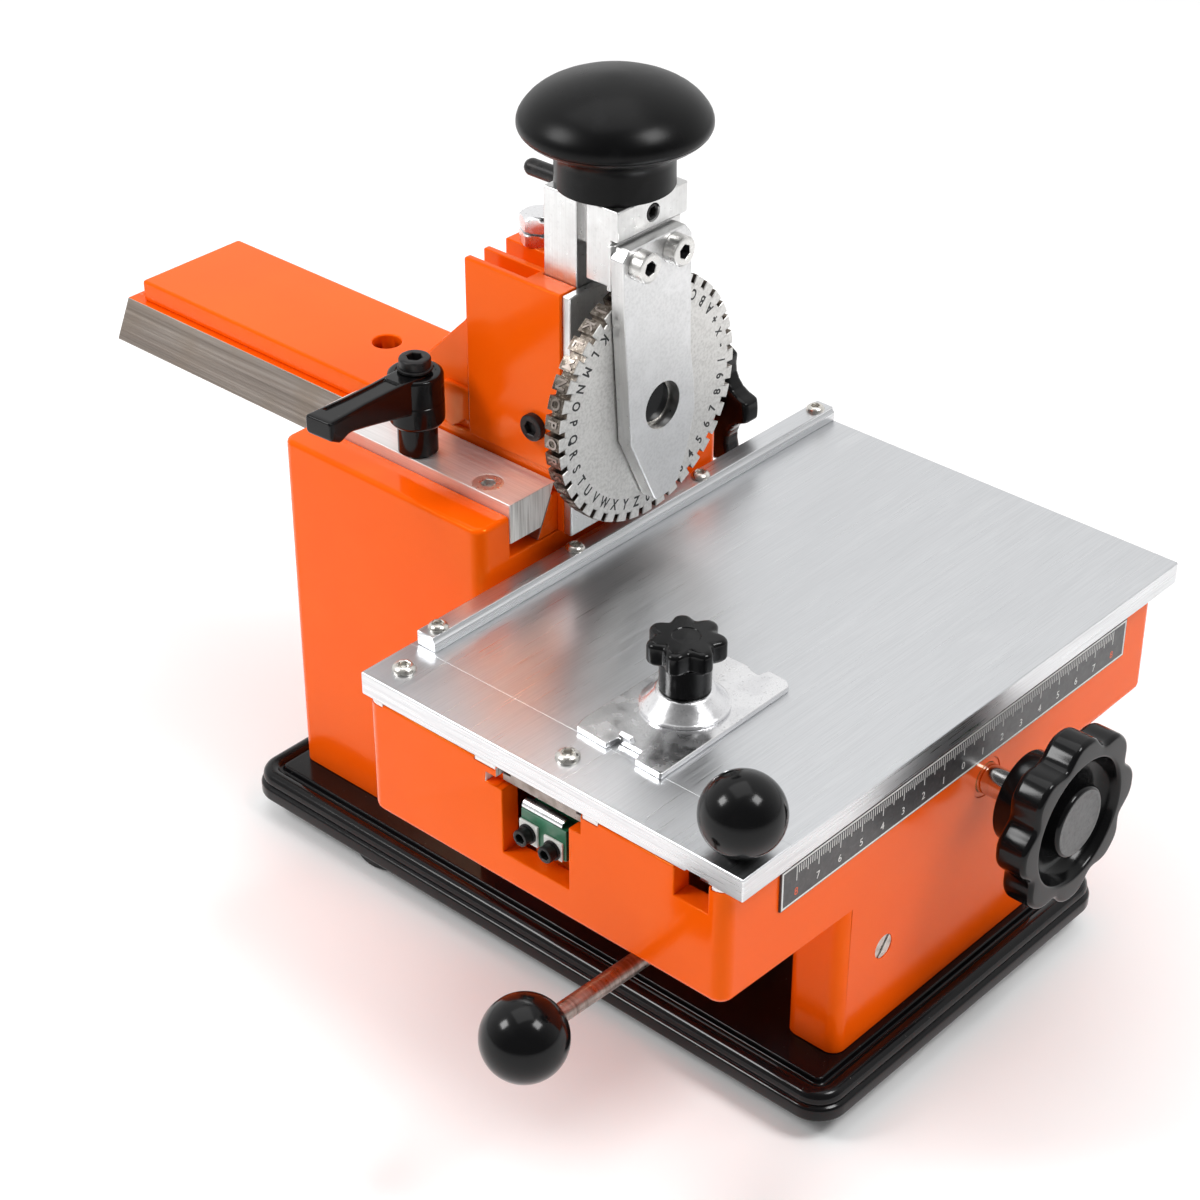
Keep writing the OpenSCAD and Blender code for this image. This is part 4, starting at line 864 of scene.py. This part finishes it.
def section(u, depth, shrink=0.0):
    hw, zb, zt, r = lerp(LH, u) - shrink, lerp(LB, u) + shrink, lerp(LT, u) - shrink, 1.1
    pts = []

    def arc(cw, cz, a0):
        for i in range(5):
            a = rad(a0 + 22.5 * i)
            pts.append((cw + r * cos(a), cz + r * sin(a)))

    arc(hw - r, zb + r, -90)
    arc(hw - r, zt - r, 0)
    pts.append((hw - 1.5, zt))
    pts.append((hw - 1.9, zt - depth))
    pts.append((0, zt - depth))
    pts.append((-hw + 1.9, zt - depth))
    pts.append((-hw + 1.5, zt))
    arc(-hw + r, zt - r, 90)
    arc(-hw + r, zb + r, 180)
    return [LC + DU * u + DW * w + Vector((0, 0, z)) for w, z in pts]


secs = [section(1, 0)] + [section(u, 0) for u in (5, 8, 10.4)] + [section(u, 0.7) for u in (10.9, 16, 22, 28, 32, 34.5, 36.5, 38.4)]
secs += [section(u, 0) for u in (38.9, 39.5, 40.5, 42.5, 43.9)] + [section(44.35, 0, 0.25), section(44.6, 0, 0.7)]
hub = polar([(30.3, 4.05), (30.3, 6.1), (30.7, 6.5), (40.4, 6.5), (40.5, 7.6), (40.8, 8.1), (41.7, 8.8), (42.2, 9.0), (48.7, 9.0), (48.9, 8.82),
             (49.1, 8.82), (49.3, 9.0), (57.4, 9.0), (58.1, 8.75), (58.5, 8.2), (58.6, 7.6), (58.6, 6.6), (58.2, 6.3), (58.2, 4.05)],
            LC, *UP, seg=96, close=True)
make("vis_clamp_lever", [hub, loft(secs)], [M["black_phenolic"], M["black_satin"]], "clamp_lever_handle", angle=40)
make("vis_clamp_lever_screw", [polar([(4.1, 3.5), (4.6, 4), (59.3, 4), (59.3, 5.4), (59.45, 5.68), (60.15, 5.68), (60.35, 5.4), (60.4, 5.0),
                                      (60.6, 5.18), (62.9, 5.18), (63.35, 4.95), (63.6, 4.5)] + hexhole(63.6, 3.6, 4.7, 2.4),
                                     LC, *UP, seg=72)], [M["black_steel"]], "clamp_lever_screw")


# ------------------------------------------------------------------ lock knob on the right
def lock_R(t):
    d = abs(((math.degrees(t) + 3 + 30) % 60) - 30)
    return lerp([(0, 23.5), (7.5, 23.45), (9, 23.2), (10.5, 22.4), (14, 20.4), (21, 18.5), (30, 17.9)], d)


make("vis_lock_knob", [polar([(142.4, 3.5), (142.9, 4), (169.5, 4), (169.5, 8.5), (169.8, 8.9), (170.2, 9), (177.6, 9), (177.95, 9.4), (178, 10),
                              (178, -2.2, 1), (178.1, -1.5, 1), (178.5, -0.7, 1), (179.2, -0.15, 1), (180, 0, 1), (183.9, 0, 1), (184.6, -0.2, 1),
                              (185.3, -0.7, 1), (185.8, -1.5, 1), (186, -2.6, 1), (186, 13.2), (185.8, 12.8), (184.9, 12.4), (184.7, 11.9),
                              (184.7, 8.2), (184.9, 7.7), (185.6, 7.4), (185.8, 6.9), (185.8, 0)], (0, 170, 13.5), Y, Z, X, seg=240, R=lock_R)],
     [M["black_phenolic"]], "lock_star_knob")

# ------------------------------------------------------------------ floor, light, camera
bpy.ops.mesh.primitive_plane_add(size=14, location=(0, 0, 0))
floor = bpy.context.object
floor.name = "floor"
floor.data.materials.append(mat("floor_white", (0.95, 0.95, 0.95), 0.75, spec=0.15,
                                tints=[(3, ONE, 2, 0.4, 0.7, (0.96, 0.96, 0.96), 0.5)], bumps=[(60, ONE, 2, 0.0001, 0.05)]))

world = bpy.data.worlds.new("studio")
scene.world = world
world.use_nodes = True
bg = world.node_tree.nodes["Background"]
bg.inputs["Color"].default_value = (1, 1, 1, 1)
# a studio sweep: bright wall behind the object, darker room behind the camera
wco = world.node_tree.nodes.new("ShaderNodeTexCoord")
wdot = world.node_tree.nodes.new("ShaderNodeVectorMath")
wdot.operation = "DOT_PRODUCT"
wdot.inputs[1].default_value = (0.74, 0.67, 0.0)
wmap = world.node_tree.nodes.new("ShaderNodeMapRange")
wmap.interpolation_type = "SMOOTHSTEP"
for k, v in zip(("From Min", "From Max", "To Min", "To Max"), (-0.75, 0.6, 0.2, 1.0)):
    wmap.inputs[k].default_value = v
world.node_tree.links.new(wco.outputs["Generated"], wdot.inputs[0])
world.node_tree.links.new(wdot.outputs["Value"], wmap.inputs["Value"])
world.node_tree.links.new(wmap.outputs["Result"], bg.inputs["Strength"])


def area(name, place, target, size, power, colour=(1, 1, 1), size_y=None):
    li = bpy.data.lights.new(name, "AREA")
    li.shape = "RECTANGLE"
    li.size = size
    li.size_y = size_y or size
    li.energy = power
    li.color = colour
    ob = bpy.data.objects.new(name, li)
    scene.collection.objects.link(ob)
    ob.location = place
    ob.rotation_euler = (Vector(target) - Vector(place)).to_track_quat("-Z", "Y").to_euler()
    return ob


area("key_left", (-0.85, 0.63, 1.06), (0, 0, 0.1), 0.42, 10)
area("key_right", (0.2, -0.82, 1.24), (0, 0, 0.1), 0.42, 9)
area("top", (0.1, 0.2, 1.7), (0, 0, 0), 1.2, 6)

cam = bpy.data.cameras.new("camera")
cam.lens = 81.47
cam.sensor_width = 36
cam.sensor_fit = "HORIZONTAL"
cam.clip_start = 0.02
cam.clip_end = 60
co = bpy.data.objects.new("camera", cam)
scene.collection.objects.link(co)
co.location = W((-448.88, -353.81, 457.70))
az, el = rad(42.096), rad(32.841)
fwd = Vector((cos(el) * cos(az), cos(el) * sin(az), -sin(el)))
co.rotation_euler = fwd.to_track_quat("-Z", "Y").to_euler()
scene.camera = co
scene.view_settings.view_transform = "Standard"
scene.view_settings.look = "None"

bpy.context.view_layer.update()
